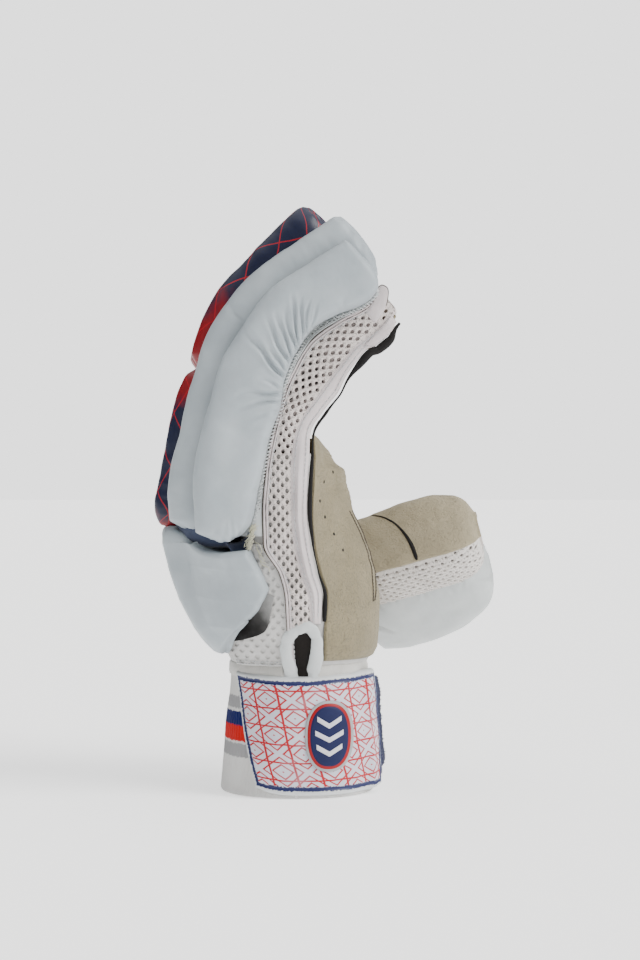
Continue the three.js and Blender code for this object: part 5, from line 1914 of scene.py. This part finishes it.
for layer in badgeShape["layers"]:
    badgeLayer(*layer)
stripes = [badgeStripe(rise) for rise in badgeShape["stripeRises"]]
finish(joinGrids("badgeStripes", stripes), badgeWhite, "badge")
print("cuff and strap")


# binding of the wrist opening, x and z round the arch
bindingShape = {
    "arch": [
        (-3.5, 56.0), (-4.0, 60), (-5.4, 66.5), (-6.3, 72.5), (-5.0, 77.5), (-1.2, 81.2), (3.6, 82.6),
        (7.2, 79.6), (8.5, 74.5), (8.2, 68.5), (7.0, 62), (6.6, 56.0),
    ],
    "steps": 150, "sides": 30, "flat": 0.62, "radius": 2.75,
    # pinches: step, depth
    "pinches": [(47, 0.55), (66, 0.4), (96, 0.5)],
}
openingShape = {
    "z": (57, 81), "wideAt": [57, 64, 72, 77, 81], "wide": [3.6, 4.6, 6.0, 5.0, 2.0],
    "middleAt": [57, 72, 81], "middle": [1.3, 1.0, 2.6],
}


def makeBinding():
    steps = bindingShape["steps"]
    x, z = smoothPath(bindingShape["arch"], steps).T
    y = handSideY(x, np.maximum(z, 62.4), 0) - 1.6
    # below the hand it lies on the cuff
    y = np.where(z < 64, mix(y, cuffSideY(x, z) + 0.4, smoothStep((64 - z) / 5)), y)
    step = np.arange(steps)
    puff = bindingShape["radius"] + 0.75 * (np.abs(step - 75) / 75.0) ** 1.5 + 0.15 * np.sin(step / 6.0)
    for at, deep in bindingShape["pinches"]:
        puff = puff - deep * bump(step, at, 2.5)
    path = np.stack([x, y, z], 1)
    grid = tubeGrid(path, puff, bindingShape["sides"], bindingShape["flat"], outOfSide)
    grid = pushed(grid, 0.22 * evenNoise(grid, 8, 121, 3))
    finish(joinGrids("slitBinding", [grid]), bindingWhite, "binding", "slit_binding")


def makeOpening():
    # painted shade: a near-black sheet just under the surface stands for the shaded inside of the wrist
    # opening
    z = np.linspace(*openingShape["z"], 24)
    wide = np.interp(z, openingShape["wideAt"], openingShape["wide"])
    middle = np.interp(z, openingShape["middleAt"], openingShape["middle"])
    x = middle[:, None] + wide[:, None] * np.linspace(-1, 1, 12)[None]
    level = z[:, None] + 0 * x
    face = np.stack([x, handSideY(x, np.maximum(level, 62.4), -0.1) - 0.35 - 0.2, level], -1)
    finish(sheetPiece("slitShade", face, face + [0, 0.8, 0]), openingShade, "mesh")


makeBinding()
makeOpening()


# seams and threads
def seamOn(surface, pixels, count, lift, even=False):
    path, out = look(surface, smoothPath(pixels, count), lift)
    if not even:
        return path, out
    # near the outline the depth is unsteady: even it out and lay the line back on
    step = np.linspace(-1, 1, len(path))
    path[:, 1] = np.polyval(np.polyfit(step, path[:, 1], 2), step)
    found = []
    for spot in path:
        near, out, _, _ = surface.find_nearest(Vector(toScene(spot).tolist()))
        out = np.array(out) * (1 if out[1] < 0 or out[0] > 0 else -1)
        found.append((np.array(near) * 1000 - [place["x"], place["y"], 0] + out * lift, out))
    return np.array([spot for spot, _ in found]), np.array([out for _, out in found])


# stitch rows: edge, shift, lift, ends
ribbonRows = [
    ("meshEnd", -1.2, 2.3, (-40, 125)), ("trimEnd", 2.4, 2.2, (-38, 120)), ("groove", -2.0, 1.9, (-60, 126)),
]
padRow = {"ends": (3, 127), "spacing": 2.15 * 0.8}
hemRow = {"x": (-31, -8.5), "levels": (63.9, 65.2)}


def padEdgeStitches():
    s = np.linspace(*padRow["ends"], 400)
    d = edgeAt("padLow", s) - 0.4 - padReach(s)
    grids = stitchGrids(onSide(s, d, 2.9), outOfSide, padRow["spacing"], 2.2, 0.36, 1.05, 0.6, 0.2)
    # painted shade: short dark marks set lower beside each white stitch
    dark = stitchGrids(onSide(s, d - 0.9, 2.2), outOfSide, padRow["spacing"], 0.9, 0.24, 0.6, 0.4, 0.25)
    finish(joinGrids("padEdgeStitches", grids), threadWhite, "pad_white")
    finish(joinGrids("padEdgeShade", dark), brownThreadAndShade, "pad_white")


def sideRibbonStitches():
    grids = []
    for edge, shift, lift, ends in ribbonRows:
        path = alongEdge(edge, np.linspace(*ends, 500), shift, lift)
        grids += stitchGrids(path, outOfSide, 2.5, 1.9, 0.2, 0.0, 0.2, 0.04)
    finish(joinGrids("ribbonStitches", grids), threadWhite, "trim")


tack = {
    "from": (-21.4, 130.5), "to": (-24.0, 120.0), "count": 90, "turn": math.radians(58), "radius": 0.2,
    "tailFrom": (-21, 123), "tailTo": (-17.5, 113), "tails": 6, "tailRadius": 0.18,
}


def barTack():
    # cream thread lashed over the foot of the side pad
    grids = []
    for index in range(tack["count"]):
        share = index / (tack["count"] - 1)
        x = mix(tack["from"][0], tack["to"][0], share) + rng.normal() * 0.6
        z = mix(tack["from"][1], tack["to"][1], share) + rng.normal() * 0.5
        turn = tack["turn"] + rng.normal() * 0.35
        long = rng.uniform(1.8, 3.8)
        t = np.linspace(-0.5, 0.5, 6)
        y = -50.2 - 1.6 * np.cos(t * math.pi) - 0.6 * rng.uniform()
        path = np.stack([x + math.cos(turn) * long * t, y, z + math.sin(turn) * long * t], 1)
        grids.append(tubeGrid(path, tack["radius"], 6))
    for index in range(tack["tails"]):
        share = index / (tack["tails"] - 1)
        t = np.linspace(0, 1, 8)
        x = (
            mix(tack["tailFrom"][0], tack["tailTo"][0], share) + 3.4 * t + rng.uniform(-1.4, 1.4)
            * np.sin(t * 3)
        )
        z = mix(tack["tailFrom"][1], tack["tailTo"][1], share) - 4.5 * t + 0.8 * np.sin(t * 4 + index)
        y = np.minimum(handSideY(x, z, 0) - 1.9 - 1.2 * np.sin(t * math.pi), -48.6)
        grids.append(tubeGrid(np.stack([x, y, z], 1), tack["tailRadius"], 6))
    finish(joinGrids("barTack", grids), threadCream, "pad_white")


def palmSeams():
    path, out = seamOn(seenSurface(thumbLeather), frameSpots["thumbSeam"], 70, 0.05)
    share = np.linspace(0, 1, len(path))
    width = np.interp(share, [0, 0.1, 0.45, 0.8, 0.95, 1], [0.2, 0.4, 0.55, 1.05, 0.95, 0.5])
    finish(joinGrids("thumbSeam", [tubeGrid(path, width, 8, 0.45, out)]), blackEdgeAndHoleShade, "palm_leather")
    rows = []
    surface = seenSurface(palmPiece)
    for shift in (0.0, -2.6):
        track = [(x + shift, y) for x, y in frameSpots["palmSeam"]]
        path, out = seamOn(surface, track, 110, 0.1, True)
        rows.append(tubeGrid(smoothPath(path[::6], 90), 0.34, 6))
        rows += stitchGrids(path, out, 1.7, 1.3, 0.26, 0.5 + shift * 0.3, 0.35)
    finish(joinGrids("palmSeam", rows), brownThreadAndShade, "palm_leather")


def hemStitches():
    grids = []
    for level in hemRow["levels"]:
        path = onHandSide(np.linspace(*hemRow["x"], 200), np.full(200, level), 0.75)
        grids += stitchGrids(path, outOfSide, 2.3, 1.7, 0.24, 0.0, 0.3, 0.1)
    finish(joinGrids("hemStitches", grids), threadWhite, "mesh")


# folded tabs at the fingertip: outline as station and height, lift
tabs = [
    (
        [
            (117.5, -1.0), (124.0, 0.6), (130.5, 5.0), (133.0, 8.8), (131.4, 11.6), (127.2, 11.4),
            (122.5, 7.5), (117.5, 5.0),
        ],
        1.7,
    ),
    (
        [(108, -6.0), (115, -5.0), (121.0, -4.0), (126.5, -3.0), (126.0, -6.2), (121.0, -8.9), (112, -9.2)],
        2.0,
    ),
]


def tipTabs():
    grids = []
    for corners, lift in tabs:
        ring = smoothPath(corners + [corners[0]], 40)[:-1]
        middle = ring.mean(0)
        layers = []
        for scale, height in ((1.0, -0.8), (1.0, 0.2), (0.9, 0.75), (0.5, 0.95), (0.05, 1.0)):
            flat = middle + (ring - middle) * scale
            layers.append(onSide(flat[:, 0], flat[:, 1], lift + height))
        grids.append(np.array(layers))
    finish(joinGrids("tipTabs", grids), trimPink, "trim")
    rim = tubeGrid(grids[0][1][9:30] + [0, -0.1, 0], 0.22, 5)
    finish(joinGrids("tipTabEdge", [rim]), brownThreadAndShade, "trim")


padEdgeStitches()
sideRibbonStitches()
barTack()
palmSeams()
hemStitches()
tipTabs()
print("seams")
